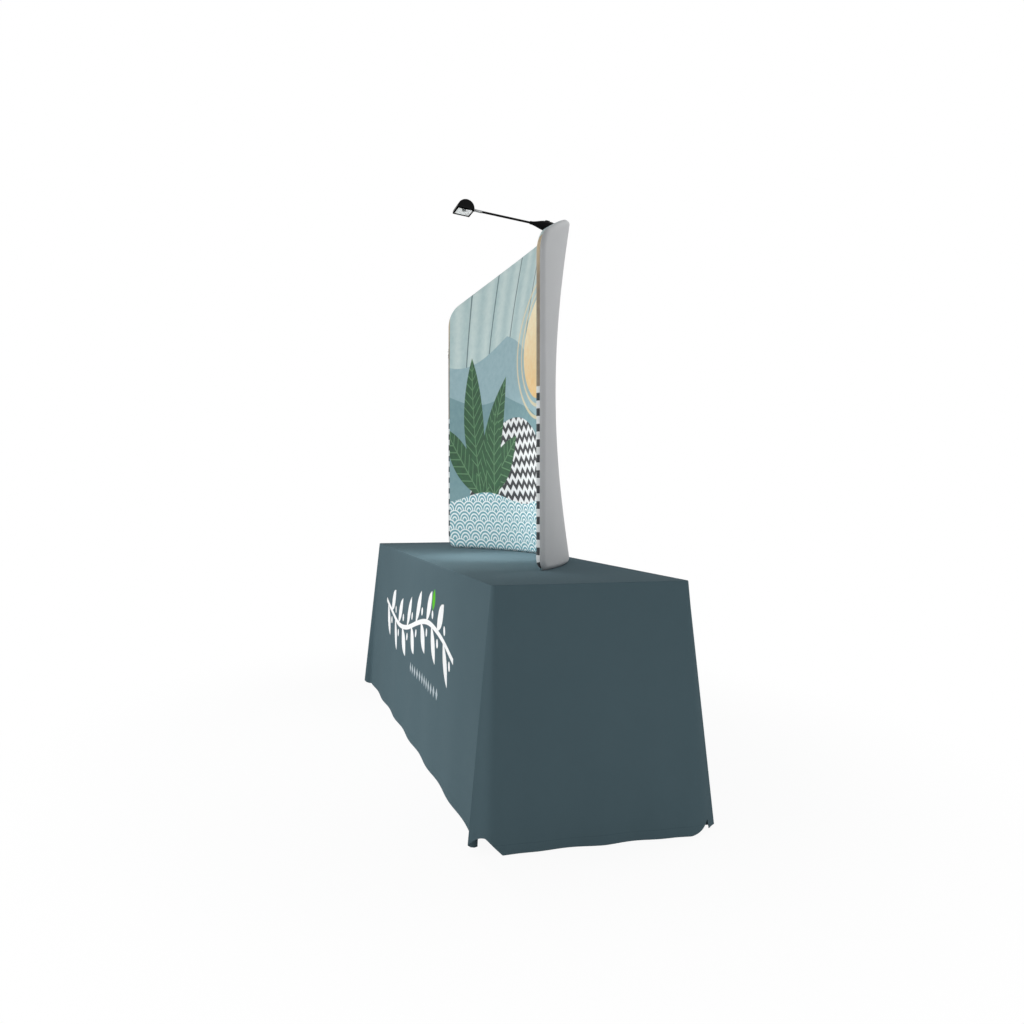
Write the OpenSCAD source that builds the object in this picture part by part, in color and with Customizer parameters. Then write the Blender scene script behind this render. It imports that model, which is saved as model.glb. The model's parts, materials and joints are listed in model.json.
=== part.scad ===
// Tabletop trade show display: a folding table under a fabric throw, a curved tube
// frame that stretches a fabric panel, and a lamp on an arm that clamps to the top tube.
// X runs along the table, +Y to its back, +Z up, in millimetres. The origin is on the
// floor below the middle of the table.

/* [Table] */
// Length of the table board
board_l = 2432; // [2300:1:2500]
// Depth of the table board
board_w = 604; // [560:1:680]
// Thickness of the board's rim
board_t = 42; // [36:1:50]
// Height of the board's top above the floor
board_h = 737; // [700:1:760]
// Thickness of the board's top skin
board_skin = 12; // [8:1:16]
// Width of the board's rim
board_rim = 16; // [10:1:24]
// Width of a batten across the board's underside
batten_w = 10; // [8:1:20]
// Corner radius of the board in plan
board_corner_r = 10; // [6:1:16]
// Distance from the board's long edge to the rail's middle
rail_inset = 45; // [35:1:60]
// Width of a rail
rail_w = 25; // [20:1:30]
// Height of a rail
rail_h = 45; // [42:1:50]
// Wall of a rail
rail_wall = 2; // [1:0.5:3]
// Length of a rail
rail_l = 2240; // [2160:1:2290]
// Radius of a rail screw
screw_r = 2.5; // [2:0.5:3]

/* [Legs] */
// Distance from the table's middle to a leg frame's pivot
leg_pivot_x = 1050; // [980:1:1060]
// Depth of the pivot under the board's skin
leg_pivot_drop = 33; // [31:1:36]
// Outer radius of a leg tube
leg_r = 12.5; // [10:0.5:14]
// Wall of a leg tube
leg_wall = 1.5; // [1:0.5:3]
// Distance from a rail's middle to a leg's middle
leg_inset = 52; // [40:1:70]
// Outward lean of an open leg in degrees
leg_splay = 3; // [1:0.5:4]
// Radius of the top cross tube
leg_cross_r = 11; // [9:0.5:12]
// Radius of the pivot pins at its ends
leg_pin_r = 6; // [4:0.5:8]
// Radius of the two lower cross bars
leg_bar_r = 8; // [6:0.5:8]
// Distance from the pivot to the lowest cross bar
leg_low_bar = 575; // [500:1:610]
// Outer radius of a foot cap
foot_r = 16; // [15:0.5:20]
// Height of a foot cap
foot_h = 38; // [25:1:60]

/* [Leg brace] */
// Distance from the leg pivot to the brace bar, along the leg
brace_drop = 300; // [280:1:320]
// Distance from the brace bar to the brace pin, towards the middle
brace_off = 20; // [19:0.5:21]
// Distance from the leg pivot to the bracket pin, towards the middle
brace_back = 360; // [350:1:380]
// Width of a brace link
link_w = 18; // [14:1:18]
// Thickness of a brace link
link_t = 4; // [3:0.5:5]
// Gap between the two links of a brace
link_gap = 6; // [6:0.5:8]
// Radius of the brace pins
brace_pin_r = 3.5; // [2.5:0.5:4]
// Thickness of the ears that hold the brace pins
ear_t = 2.4; // [1.5:0.1:2.5]

/* [Throw] */
// Thickness of the throw's cloth
cloth_t = 2.5; // [2:0.1:3]
// How far the long hems stand out from the table's edge
flare_long = 40; // [20:1:60]
// How far the short hems stand out from the table's edge
flare_short = 84; // [60:1:100]
// How far the corner folds stand out past the long edge
lobe_long = 78; // [60:1:100]
// How far the corner folds' first ridge stands past the short edge
lobe_step = 24; // [15:1:40]
// How far the corner folds' second ridge stands past the short edge
lobe_short = 88; // [85:1:105]
// How far the second ridge lies inside the long edge
lobe_tuck = 6; // [0:1:20]
// Rise of the hem between the two ridges of a corner
lobe_arch = 50; // [20:1:80]
// Outward bulge of the cloth between the two ridges
lobe_bulge = 5; // [0:1:10]
// Height of the hem above the floor
hem_gap = 6; // [4:1:15]
// Height of the hem's waves
hem_wave = 3; // [0:0.5:3]

/* [Display frame] */
// Distance between the two upright poles
chord = 1480; // [1400:1:1560]
// Radius of the frame's curve in plan
arc_r = 1157; // [1050:1:1300]
// Distance of the curve's middle behind the table's middle
apex_y = 254; // [200:1:262]
// Height of the panel above the throw at its middle
panel_h = 1335; // [1200:1:1450]
// Radius of the top tube's rise
crown_r = 1651; // [1500:1:1900]
// Outer radius of the frame tube
tube_r = 15; // [14:0.5:16]
// Wall of the frame tube
tube_wall = 1.5; // [1:0.1:2]
// Radius of the top corner bends
corner_top_r = 94; // [80:1:120]
// Radius of the bottom corner bends
corner_bottom_r = 24; // [22:1:30]
// Length of a ferrule on each side of its joint
ferrule_half = 50; // [40:1:60]
// Wall of a ferrule
ferrule_wall = 1.5; // [1:0.1:2]
// Radius of a snap button
button_r = 4; // [3:0.5:4.5]
// How far a snap button stands out of its tube
button_proud = 3.5; // [2:0.5:4]
// Distance from the tube joint to the snap button
button_step = 24; // [20:1:30]

/* [Fabric panel] */
// Thickness of the panel's fabric
fabric_t = 1; // [0.8:0.1:1.2]
// Gap between the tube and the fabric
skin_gap = 0.6; // [0.6:0.1:0.8]
// Share of the curve that the stretched fabric loses at half height
waist = 0.285; // [0.2:0.005:0.35]
// Length of the zip
zip_l = 900; // [600:1:980]
// Height of the zip's lower end above the throw
zip_rise = 60; // [50:1:90]
// Width of the zip's tape
zip_w = 18; // [14:1:22]

/* [Lamp clamp] */
// Width of the clamp
clamp_w = 36; // [34:1:44]
// Wall of the clamp
clamp_wall = 6; // [5:0.5:8]
// Thickness of the clamp's back jaw
jaw_t = 10; // [8:0.5:14]
// Radius of the pressure pad
pad_r = 8; // [6:0.5:9]
// Thickness of the pressure pad
pad_t = 3; // [2:0.5:4]
// Travel of the pressure pad
pad_travel = 4; // [3:0.5:5]
// Radius of the clamp screw
clamp_screw_r = 3; // [2.5:0.5:4]
// Radius of the clamp knob
knob_r = 14; // [11:0.5:18]
// Length of the clamp knob
knob_l = 14; // [10:1:20]
// Radius of the clamp's ears
ear_r = 5.5; // [5:0.5:6]
// Distance from the middle to an ear's inner face
ear_x = 12; // [11:0.5:13]
// Radius of the lamp's pivot pin
lamp_pin_r = 2.5; // [2:0.5:3]

/* [Lamp] */
// Upward lean of the arm in degrees
arm_lean = 7.8; // [0:0.1:15]
// Height of the arm's axis above the pivot
arm_rise = 22; // [21.5:0.5:26]
// Largest radius of the driver housing
house_r = 20.5; // [19:0.5:21]
// Wall of the driver housing
house_wall = 2; // [1.5:0.1:2.4]
// Distance from the pivot to the housing's nose
house_nose = 95; // [85:1:110]
// Radius of the housing's nose
nose_r = 6.5; // [6.2:0.1:8]
// Radius of the arm
arm_r = 4.5; // [4:0.1:5]
// Length of the bare arm
arm_l = 206; // [150:1:260]
// Length of the neck
neck_l = 26; // [24:1:40]
// Radius of the neck
neck_r = 5.5; // [5.2:0.1:6.5]
// Thickness of the neck's tongue
tongue_t = 5; // [4:0.5:6]
// Radius of the head's pivot pin
head_pin_r = 2; // [1.5:0.5:2.5]
// Outer radius of the hood
hood_r = 35; // [32:0.5:40]
// Width of the hood
hood_w = 96; // [80:1:120]
// Height of the hood's straight skirt
hood_skirt = 1; // [0:0.5:6]
// Wall of the hood
hood_wall = 2; // [1.5:0.1:3]
// Drop of the lens plane below the arm's axis
lens_drop = 13.5; // [12:0.5:15]
// Thickness of the lens bezel
bezel_t = 4; // [3.5:0.5:6]
// Width of the bezel's frame
bezel_w = 6; // [5:0.5:9]
// Thickness of the lens
lens_t = 2; // [1.5:0.1:2.5]

/* [Hidden] */
$fn = 48;
soft_gap = 0.3;
run_gap = 0.05;

skin_under = board_h - board_skin;
rail_y = board_w / 2 - rail_inset;
rail_z = skin_under - rail_h;
pivot_z = skin_under - leg_pivot_drop;
leg_y = rail_y - leg_inset;
leg_len = pivot_z / cos(leg_splay);
cloth_top = board_h + soft_gap + cloth_t;
half_l = board_l / 2 + soft_gap + cloth_t;
half_w = board_w / 2 + soft_gap + cloth_t;
cloth_corner_r = board_corner_r + soft_gap + cloth_t;
edge_round = cloth_t + soft_gap + 0.5;
link_y = link_gap / 2;
bracket_z = pivot_z + brace_off;
brace_reach = norm([brace_back - brace_off * cos(leg_splay) + brace_drop * sin(leg_splay),
                    brace_off + brace_drop * cos(leg_splay) + brace_off * sin(leg_splay)]);
link_upper = (brace_reach + brace_back - brace_drop) / 2;
link_lower = brace_reach - link_upper;
brace_angle = asin((brace_off + brace_drop * cos(leg_splay) + brace_off * sin(leg_splay)) / brace_reach);

skin_r = tube_r + skin_gap + fabric_t;
arc_cy = apex_y - arc_r;
arc_half = asin(chord / 2 / arc_r);
reach = arc_r * arc_half * PI / 180;
low_z = cloth_top + soft_gap + skin_r;
apex_z = cloth_top + panel_h - skin_r;

function phi(s) = s / arc_r * 180 / PI;
function on_arc(s, z) = [arc_r * sin(phi(s)), arc_cy + arc_r * cos(phi(s)), z];
function crown(s) = apex_z - s * s / (2 * crown_r);
// Where the crown meets the corner bend: each pass refines the slope there.
function bend_slope(n) = n == 0 ? atan((reach - corner_top_r) / crown_r)
    : atan((reach - corner_top_r + corner_top_r * sin(bend_slope(n - 1))) / crown_r);
bend = bend_slope(4);
bend_s = reach - corner_top_r + corner_top_r * sin(bend);
bend_z = crown(bend_s) - corner_top_r * cos(bend);

// Stations along the developed curve, from the middle outwards. The tube and the
// fabric share them, so their facets stay parallel.
first_s = 25;
flat_steps = 7;
bend_steps = 5;
joint_station = 4;
stations = concat(
    [for (i = [0:flat_steps]) first_s + (reach - corner_top_r - first_s) * i / flat_steps],
    [for (i = [0:bend_steps]) reach - corner_top_r + corner_top_r * cos((90 - bend) * (1 - i / bend_steps))]);
last = len(stations) - 1;

function high_z(s) = abs(s) <= bend_s ? crown(s)
    : bend_z + sqrt(max(0, pow(corner_top_r, 2) - pow(abs(s) - reach + corner_top_r, 2)));
function high_dir(s) = abs(s) <= bend_s ? 90 - atan(abs(s) / crown_r)
    : acos(min(1, (abs(s) - reach + corner_top_r) / corner_top_r));
function low_bend(s) = max(0, abs(s) - reach + corner_bottom_r);
function edge_z(s) = low_z + corner_bottom_r - sqrt(max(0, pow(corner_bottom_r, 2) - pow(low_bend(s), 2)));
function edge_dir(s) = -acos(min(1, low_bend(s) / corner_bottom_r));
function outward(s, dir) = s < 0 ? 180 - dir : dir;

// A frame on the curve: its point, the direction to the back, and the outward one in the surface.
function back_of(s) = [sin(phi(s)), cos(phi(s)), 0];
function along(s) = [cos(phi(s)), -sin(phi(s)), 0];
function out_of(s, dir) = cos(dir) * along(s) + [0, 0, sin(dir)];
function top_frame(s) = [on_arc(s, high_z(s)), back_of(s), out_of(s, outward(s, high_dir(s)))];
function low_frame(s) = [on_arc(s, edge_z(s)), back_of(s), out_of(s, outward(s, edge_dir(s)))];
function mix(a, b, t) = a * (1 - t) + b * t;
function mix_frame(a, b, t) = [for (i = [0:2]) mix(a[i], b[i], t)];

// Tubes are swept through frames, with the back direction first and the outward one second.
tube_sides = 16;
module swept_tube(frames, r, wall) {
    n = len(frames);
    m = n * tube_sides;
    points = [for (q = [r, r - wall]) for (f = frames) for (i = [0:tube_sides - 1])
        f[0] + q * (cos(i * 360 / tube_sides) * f[1] - sin(i * 360 / tube_sides) * f[2])];
    function at(k, i) = k * tube_sides + i % tube_sides;
    faces = concat(
        [for (k = [0:n - 2]) for (i = [0:tube_sides - 1]) each [
            [at(k, i), at(k + 1, i), at(k, i + 1)],
            [at(k, i + 1), at(k + 1, i), at(k + 1, i + 1)],
            [m + at(k, i), m + at(k, i + 1), m + at(k + 1, i)],
            [m + at(k, i + 1), m + at(k + 1, i + 1), m + at(k + 1, i)]]],
        [for (i = [0:tube_sides - 1]) each [
            [at(0, i), at(0, i + 1), m + at(0, i + 1)],
            [at(0, i), m + at(0, i + 1), m + at(0, i)],
            [at(n - 1, i), m + at(n - 1, i + 1), at(n - 1, i + 1)],
            [at(n - 1, i), m + at(n - 1, i), m + at(n - 1, i + 1)]]]);
    polyhedron(points = points, faces = faces, convexity = 6);
}

// A closed sheet from an outer and an inner layer with the same triangles and one rim loop.
module thick_sheet(outer, inner, tris, rim, flip = false) {
    n = len(outer);
    m = len(rim);
    faces = concat(tris, [for (t = tris) [t[2] + n, t[1] + n, t[0] + n]],
        [for (i = [0:m - 1]) each [
            [rim[i], rim[(i + 1) % m], rim[(i + 1) % m] + n],
            [rim[i], rim[(i + 1) % m] + n, rim[i] + n]]]);
    polyhedron(points = concat(outer, inner),
        faces = flip ? [for (f = faces) [f[2], f[1], f[0]]] : faces, convexity = 8);
}

module bar_y(r, l) rotate([90, 0, 0]) cylinder(r = r, h = l, center = true);
module bar_x(r, l) rotate([0, 90, 0]) cylinder(r = r, h = l, center = true);
module right_side() children();
module left_side() mirror([1, 0, 0]) children();

// Table

module board_plan(inset) {
    r = board_corner_r;
    l = board_l - 2 * inset;
    w = board_w - 2 * inset;
    square([l - 2 * r, w], center = true);
    square([l, w - 2 * r], center = true);
    for (x = [-1, 1]) for (y = [-1, 1]) translate([x * (l / 2 - r), y * (w / 2 - r)]) circle(r);
}

screw_xs = [for (i = [0:3]) rail_l * (i - 1.5) / 3.4];
module at_screws() for (x = screw_xs) for (y = [-1, 1]) translate([x, y * rail_y, skin_under]) children();

module table_board() color("gainsboro") difference() {
    translate([0, 0, board_h - board_skin]) linear_extrude(board_skin) board_plan(0);
    at_screws() translate([0, 0, -1]) cylinder(r = screw_r + run_gap, h = board_skin - 3);
}

// Four strips under the board's edge: two run the whole length, two fit between them.
module board_edging_long() color("burlywood") for (y = [-1, 1]) intersection() {
    translate([0, 0, board_h - board_t]) linear_extrude(board_t - board_skin) board_plan(0);
    translate([-board_l / 2 - 1, y * (board_w / 2 - board_rim / 2) - board_rim / 2, board_h - board_t])
        cube([board_l + 2, board_rim, board_t]);
}
module board_edging_short() color("burlywood") for (x = [-1, 1])
    translate([x * (board_l / 2 - board_rim / 2) - board_rim / 2, -board_w / 2 + board_rim, board_h - board_t])
        cube([board_rim, board_w - 2 * board_rim, board_t - board_skin]);
module board_battens() color("burlywood") for (x = [-1, 1])
    translate([x * board_l / 20 - batten_w / 2, -rail_y + rail_w / 2, board_h - board_t])
        cube([batten_w, 2 * rail_y - rail_w, board_t - board_skin]);

module rail(side) color("dimgray") difference() {
    translate([-rail_l / 2, side * rail_y - rail_w / 2, rail_z]) cube([rail_l, rail_w, rail_h]);
    translate([-rail_l / 2 - 1, side * rail_y - rail_w / 2 + rail_wall, rail_z + rail_wall])
        cube([rail_l + 2, rail_w - 2 * rail_wall, rail_h - 2 * rail_wall]);
    for (x = [-1, 1]) translate([x * leg_pivot_x, side * rail_y, pivot_z]) bar_y(leg_pin_r + run_gap, rail_w + 2);
    for (x = screw_xs) translate([x, side * rail_y, rail_z - 1]) cylinder(r = screw_r + run_gap, h = rail_h + 2);
}
module rail_front() rail(-1);
module rail_back() rail(1);

module rail_screws() color("silver") at_screws() {
    translate([0, 0, -rail_wall]) cylinder(r = screw_r, h = rail_wall + board_skin - 5);
    translate([0, 0, -rail_wall - 2]) cylinder(r = 2 * screw_r, h = 2);
}

// The leg frame stands at its pivot: -Z runs down the leg, -X towards the table's middle.
module at_leg() translate([leg_pivot_x, 0, pivot_z]) rotate([0, -leg_splay, 0]) children();

foot_sole = 4;
module below_floor(z) translate([leg_pivot_x - board_w, -board_w, z - board_w]) cube([2 * board_w, 2 * board_w, board_w]);

module leg_frame() color("dimgray") difference() {
    at_leg() {
        difference() {
            union() {
                bar_y(leg_cross_r, 2 * (rail_y - rail_w / 2 - soft_gap));
                bar_y(leg_pin_r, 2 * (rail_y + rail_w / 2 + 1.5));
                for (y = [-1, 1]) translate([0, y * leg_y, -leg_len]) cylinder(r = leg_r, h = leg_len);
                translate([0, 0, -leg_low_bar]) bar_y(leg_bar_r, 2 * leg_y);
                translate([0, 0, -brace_drop]) bar_y(leg_bar_r, 2 * leg_y);
                for (y = [-link_y - link_t - soft_gap - ear_t, -link_y + soft_gap]) translate([0, y, -brace_drop])
                    rotate([-90, 0, 0]) linear_extrude(ear_t) {
                        translate([-brace_off, 0]) circle(link_w / 2 - 1);
                        translate([-brace_off, -leg_bar_r / 2]) square([brace_off, leg_bar_r]);
                    }
                translate([-brace_off, -link_y - link_t / 2, -brace_drop])
                    bar_y(brace_pin_r, link_t + 2 * ear_t + 2 * soft_gap);
            }
            for (y = [-1, 1]) translate([0, y * leg_y, -leg_len - 1])
                cylinder(r = leg_r - leg_wall, h = leg_len - leg_cross_r - 4);
        }
    }
    below_floor(foot_sole);
}
module leg_frame_right() right_side() leg_frame();
module leg_frame_left() left_side() leg_frame();

module foot_caps() color("black") for (y = [-1, 1]) difference() {
    at_leg() translate([0, y * leg_y, -leg_len - 4]) cylinder(r = foot_r, h = foot_h + 4);
    difference() {
        at_leg() translate([0, y * leg_y, -leg_len - 4]) cylinder(r = leg_r + run_gap, h = 2 * foot_h);
        below_floor(foot_sole - 0.1);
    }
    below_floor(0);
}
module foot_caps_right() right_side() foot_caps();
module foot_caps_left() left_side() foot_caps();

bracket_base = 3;
bracket_l = 40;
bracket_w = 36;
module brace_bracket() color("silver") translate([leg_pivot_x - brace_back, 0, 0]) {
    translate([-bracket_l / 2, -15, skin_under - bracket_base]) cube([bracket_l, bracket_w, bracket_base]);
    for (y = [link_y - soft_gap - ear_t, link_y + link_t + soft_gap]) translate([0, y, bracket_z])
        rotate([-90, 0, 0]) linear_extrude(ear_t) {
            circle(link_w / 2 - 1);
            translate([-link_w / 2 + 1, bracket_z - skin_under + 1]) square([link_w - 2, skin_under - bracket_z - 1]);
        }
    translate([0, link_y + link_t / 2, bracket_z]) bar_y(brace_pin_r, link_t + 2 * ear_t + 2 * soft_gap);
}
module brace_bracket_right() right_side() brace_bracket();
module brace_bracket_left() left_side() brace_bracket();

// A flat link from a bored eye to a plain round end, along +X.
module link(l) rotate([-90, 0, 0]) linear_extrude(link_t) difference() {
    union() {
        circle(link_w / 2);
        translate([l, 0]) circle(link_w / 2);
        translate([0, -link_w / 2]) square([l, link_w]);
    }
    circle(brace_pin_r + run_gap);
}

module brace_upper() color("silver") translate([leg_pivot_x - brace_back, link_y, bracket_z])
    rotate([0, brace_angle, 0]) link(link_upper);
module brace_upper_right() right_side() brace_upper();
module brace_upper_left() left_side() brace_upper();

module brace_lower() color("silver")
    translate([leg_pivot_x - brace_off * cos(leg_splay) + brace_drop * sin(leg_splay),
               -link_y - link_t, pivot_z - brace_drop * cos(leg_splay) - brace_off * sin(leg_splay)])
    rotate([0, brace_angle + 180, 0]) {
        link(link_lower);
        translate([link_lower, link_t + (link_gap - soft_gap) / 2 - 2, 0])
            bar_y(brace_pin_r, link_gap - soft_gap + 2 * 2);
        translate([link_lower, -1, 0]) bar_y(2 * brace_pin_r, 2);
    }
module brace_lower_right() right_side() brace_lower();
module brace_lower_left() left_side() brace_lower();

// Throw: one quarter of the edge runs from the front's middle to the right side's middle.
long_steps = 11;
corner_steps = 7;
side_steps = 5;
first_ridge = [half_l + lobe_step, -(half_w + lobe_long)];
second_ridge = [half_l + lobe_short, -(half_w - lobe_tuck)];
function smooth(t) = let (c = min(1, max(0, t))) c * c * (3 - 2 * c);
function long_share(i) = 1 - pow(1 - i / long_steps, 1.6);
function hem_long(x) = [x, -(half_w + flare_long + hem_wave * cos(x * 0.9)
    + (lobe_long - flare_long - hem_wave * cos(first_ridge[0] * 0.9)) * smooth((x - first_ridge[0] + 150) / 150)),
    hem_gap + hem_wave / 2 * (1 - cos(x * 0.9))];
function hem_corner(t) = let (p = mix(first_ridge, second_ridge, t), d = second_ridge - first_ridge,
    n = [d[1], -d[0]] / norm(d)) [each p + lobe_bulge * sin(180 * t) * n, hem_gap + lobe_arch * sin(180 * t)];
function hem_side(t) = [half_l + mix(lobe_short, flare_short - hem_wave * cos(540 * t), smooth(t * 3)),
    second_ridge[1] * (1 - t), hem_gap + hem_wave / 2 * sin(180 * t)];
function edge_corner(t, e) = [half_l - cloth_corner_r, -(half_w - cloth_corner_r)]
    + (cloth_corner_r - e) * [sin(90 * t), -cos(90 * t)];
function quarter_edge(e) = concat(
    [for (i = [0:long_steps - 1]) [long_share(i) * (half_l - cloth_corner_r), -(half_w - e)]],
    [for (i = [0:corner_steps]) edge_corner(i / corner_steps, e)],
    [for (i = [1:side_steps]) [half_l - e, -(half_w - cloth_corner_r) * (1 - i / side_steps)]]);
quarter_hem = concat(
    [for (i = [0:long_steps - 1]) hem_long(long_share(i) * first_ridge[0])],
    [for (i = [0:corner_steps]) hem_corner(i / corner_steps)],
    [for (i = [1:side_steps]) hem_side(i / side_steps)]);
function turned(p, sx, sy) = len(p) == 3 ? [sx * p[0], sy * p[1], p[2]] : [sx * p[0], sy * p[1]];
function full_loop(q) = let (n = len(q)) concat(
    q, [for (i = [n - 2:-1:0]) turned(q[i], 1, -1)],
    [for (i = [1:n - 1]) turned(q[i], -1, -1)], [for (i = [n - 2:-1:1]) turned(q[i], -1, 1)]);
function flat_at(loop, z) = [for (p = loop) [p[0], p[1], z]];
hem_loop = full_loop(quarter_hem);
loop_n = len(hem_loop);
function fallen(loop, t) = [for (i = [0:loop_n - 1]) let (p = loop[i], h = hem_loop[i])
    [mix(p[0], h[0], t), mix(p[1], h[1], t), mix(cloth_top - edge_round, h[2], t)]];
function shrunk(loop, d) = [for (i = [0:loop_n - 1])
    let (a = loop[(i + loop_n - 1) % loop_n], b = loop[(i + 1) % loop_n], v = [b[0] - a[0], b[1] - a[1]])
    loop[i] + d / norm(v) * [-v[1], v[0], 0]];
falls = [0.45, 0.8, 1];
half_turn = sin(45);
module table_throw() {
    edge = full_loop(quarter_edge(0));
    outer_rings = concat(
        [flat_at(full_loop(quarter_edge(edge_round)), cloth_top),
         flat_at(full_loop(quarter_edge(edge_round * (1 - half_turn))), cloth_top - edge_round * (1 - half_turn)),
         flat_at(edge, cloth_top - edge_round)],
        [for (t = falls) fallen(edge, t)]);
    inner_r = edge_round - cloth_t;
    inner_rings = concat(
        [flat_at(full_loop(quarter_edge(edge_round)), cloth_top - cloth_t),
         flat_at(full_loop(quarter_edge(edge_round - inner_r * half_turn)),
             cloth_top - edge_round + inner_r * half_turn),
         flat_at(full_loop(quarter_edge(cloth_t)), cloth_top - edge_round)],
        [for (t = falls) shrunk(fallen(edge, t), cloth_t)]);
    rings = len(outer_rings);
    function at(k, i) = 1 + k * loop_n + i % loop_n;
    tris = concat([for (i = [0:loop_n - 1]) [0, at(0, i + 1), at(0, i)]],
        [for (k = [0:rings - 2]) for (i = [0:loop_n - 1]) each [
            [at(k, i), at(k, i + 1), at(k + 1, i)],
            [at(k, i + 1), at(k + 1, i + 1), at(k + 1, i)]]]);
    color([0.3, 0.38, 0.41]) thick_sheet(
        concat([[0, 0, cloth_top]], [for (r = outer_rings) each r]),
        concat([[0, 0, cloth_top - cloth_t]], [for (r = inner_rings) each r]),
        tris, [for (i = [0:loop_n - 1]) at(rings - 1, i)]);
}

// Display frame

function end_frames() = concat([for (k = [joint_station:last]) low_frame(stations[k])],
    [for (k = [last:-1:joint_station]) top_frame(stations[k])]);
joint_slit = 0.1;
function pulled(frames) = let (n = len(frames)) concat(
    [mix_frame(frames[0], frames[1], joint_slit / norm(frames[1][0] - frames[0][0]))],
    [for (i = [1:n - 2]) frames[i]],
    [mix_frame(frames[n - 1], frames[n - 2], joint_slit / norm(frames[n - 2][0] - frames[n - 1][0]))]);
function top_run() = concat([for (k = [joint_station:-1:0]) top_frame(stations[k])],
    [for (k = [0:joint_station]) top_frame(-stations[k])]);
function low_run() = concat([for (k = [joint_station:-1:0]) low_frame(-stations[k])],
    [for (k = [0:joint_station]) low_frame(stations[k])]);

// A point on a tube's facet beside the joint, on the end's side, with its own axes:
// X along the tube to its end, Z outwards in the panel's surface.
module at_button(top) {
    s0 = stations[joint_station];
    s1 = stations[joint_station + 1];
    p0 = top ? top_frame(s0)[0] : low_frame(s0)[0];
    p1 = top ? top_frame(s1)[0] : low_frame(s1)[0];
    v = p1 - p0;
    translate(mix(p0, p1, button_step / norm(v)))
        rotate([0, 0, -phi((s0 + s1) / 2)]) rotate([0, -asin(v[2] / norm(v)), 0])
        mirror([0, 0, top ? 1 : 0]) children();
}
module button_hole(top) at_button(top) cylinder(r = button_r + run_gap, h = tube_r + 5);

module frame_end() color("lightgray") difference() {
    swept_tube(pulled(end_frames()), tube_r, tube_wall);
    button_hole(true);
    button_hole(false);
}
module frame_end_right() right_side() frame_end();
module frame_end_left() left_side() frame_end();
module frame_top_tube() color("lightgray") swept_tube(pulled(top_run()), tube_r, tube_wall);
module frame_bottom_tube() color("lightgray") swept_tube(pulled(low_run()), tube_r, tube_wall);

ferrule_r = tube_r - tube_wall - soft_gap;
function ferrule_frames(f0, f1, f2) = [
    mix_frame(f1, f0, ferrule_half / norm(f0[0] - f1[0])), f1,
    mix_frame(f1, f2, ferrule_half / norm(f2[0] - f1[0]))];
module tube_ferrules() color("silver") for (x = [0, 1]) mirror([x, 0, 0]) {
    a = stations[joint_station - 1];
    b = stations[joint_station];
    c = stations[joint_station + 1];
    difference() {
        swept_tube(ferrule_frames(top_frame(c), top_frame(b), top_frame(a)), ferrule_r, ferrule_wall);
        button_hole(true);
    }
    difference() {
        swept_tube(ferrule_frames(low_frame(a), low_frame(b), low_frame(c)), ferrule_r, ferrule_wall);
        button_hole(false);
    }
}

ferrule_bore = ferrule_r - ferrule_wall;
button_flange = 1.5;
leaf_t = 0.8;
leaf_l = 34;
leaf_w = 7;
module snap_button(top) color("silver") at_button(top) {
    seat = sqrt(pow(ferrule_bore * cos(180 / tube_sides), 2) - pow(button_r + button_flange, 2)) - 0.2;
    translate([0, 0, seat - 1.2]) cylinder(r = button_r + button_flange, h = 1.2);
    translate([0, 0, seat - 1]) cylinder(r = button_r, h = tube_r + button_proud - seat);
    translate([0, 0, tube_r + button_proud - 1.001]) cylinder(r1 = button_r, r2 = button_r - 1, h = 1);
    rotate([90, 0, 0]) translate([0, 0, -leaf_w / 2]) linear_extrude(leaf_w)
        polygon([[button_r, seat - 1.2], [-leaf_l, seat - 1.2], [-leaf_l - 3, seat - 4], [-leaf_l, seat - 7],
            [button_r, -6.4], [button_r, -6.4 + leaf_t], [-leaf_l, seat - 7 + leaf_t],
            [-leaf_l - 3 + leaf_t, seat - 4], [-leaf_l, seat - 1.2 - leaf_t], [button_r, seat - 1.2 - leaf_t]]);
}
module snap_button_top_right() right_side() snap_button(true);
module snap_button_top_left() left_side() snap_button(true);
module snap_button_bottom_right() right_side() snap_button(false);
module snap_button_bottom_left() left_side() snap_button(false);

// Fabric panel: a grid between the tubes' middles, flatter at half height, with a
// strip that wraps the tube from its front or back line to the seam at its outside.
grid_cols = concat([for (k = [last:-1:0]) -stations[k]], stations);
grid_n = len(grid_cols);
grid_rows = 9;
wrap_steps = 3;
wrap_end = 0.985;
function hollow(w) = 1 - waist * sin(180 * w);
function slack_y(s, w) = mix(arc_cy + arc_r * cos(arc_half), on_arc(s, 0)[1], hollow(w));
function sheet_back(s, w) = let (t = atan(hollow(w) * tan(phi(s)))) [sin(t), cos(t), 0];
function sheet_mid(s, w) = [on_arc(s, 0)[0], slack_y(s, w), mix(edge_z(s), high_z(s), w)];
function turn_to(a, b, t) = let (g = acos(a * b)) (sin((1 - t) * g) * a + sin(t * g) * b) / sin(g);
border = concat(
    [for (i = [0:grid_n - 2]) [i, 0, outward(grid_cols[i], edge_dir(grid_cols[i]))]],
    [for (j = [0:grid_rows - 1]) [grid_n - 1, j, 0]],
    [for (i = [grid_n - 1:-1:1]) [i, grid_rows, outward(grid_cols[i], high_dir(grid_cols[i]))]],
    [for (j = [grid_rows:-1:1]) [0, j, 180]]);
border_n = len(border);
function sheet_points(side, r) = concat(
    [for (i = [0:grid_n - 1]) for (j = [0:grid_rows]) let (s = grid_cols[i], w = j / grid_rows)
        sheet_mid(s, w) + side * r * sheet_back(s, w)],
    [for (k = [1:wrap_steps]) for (b = border) let (s = grid_cols[b[0]], w = b[1] / grid_rows)
        sheet_mid(s, w) + r * turn_to(side * sheet_back(s, w), out_of(s, b[2]), wrap_end * k / wrap_steps)]);
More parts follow.
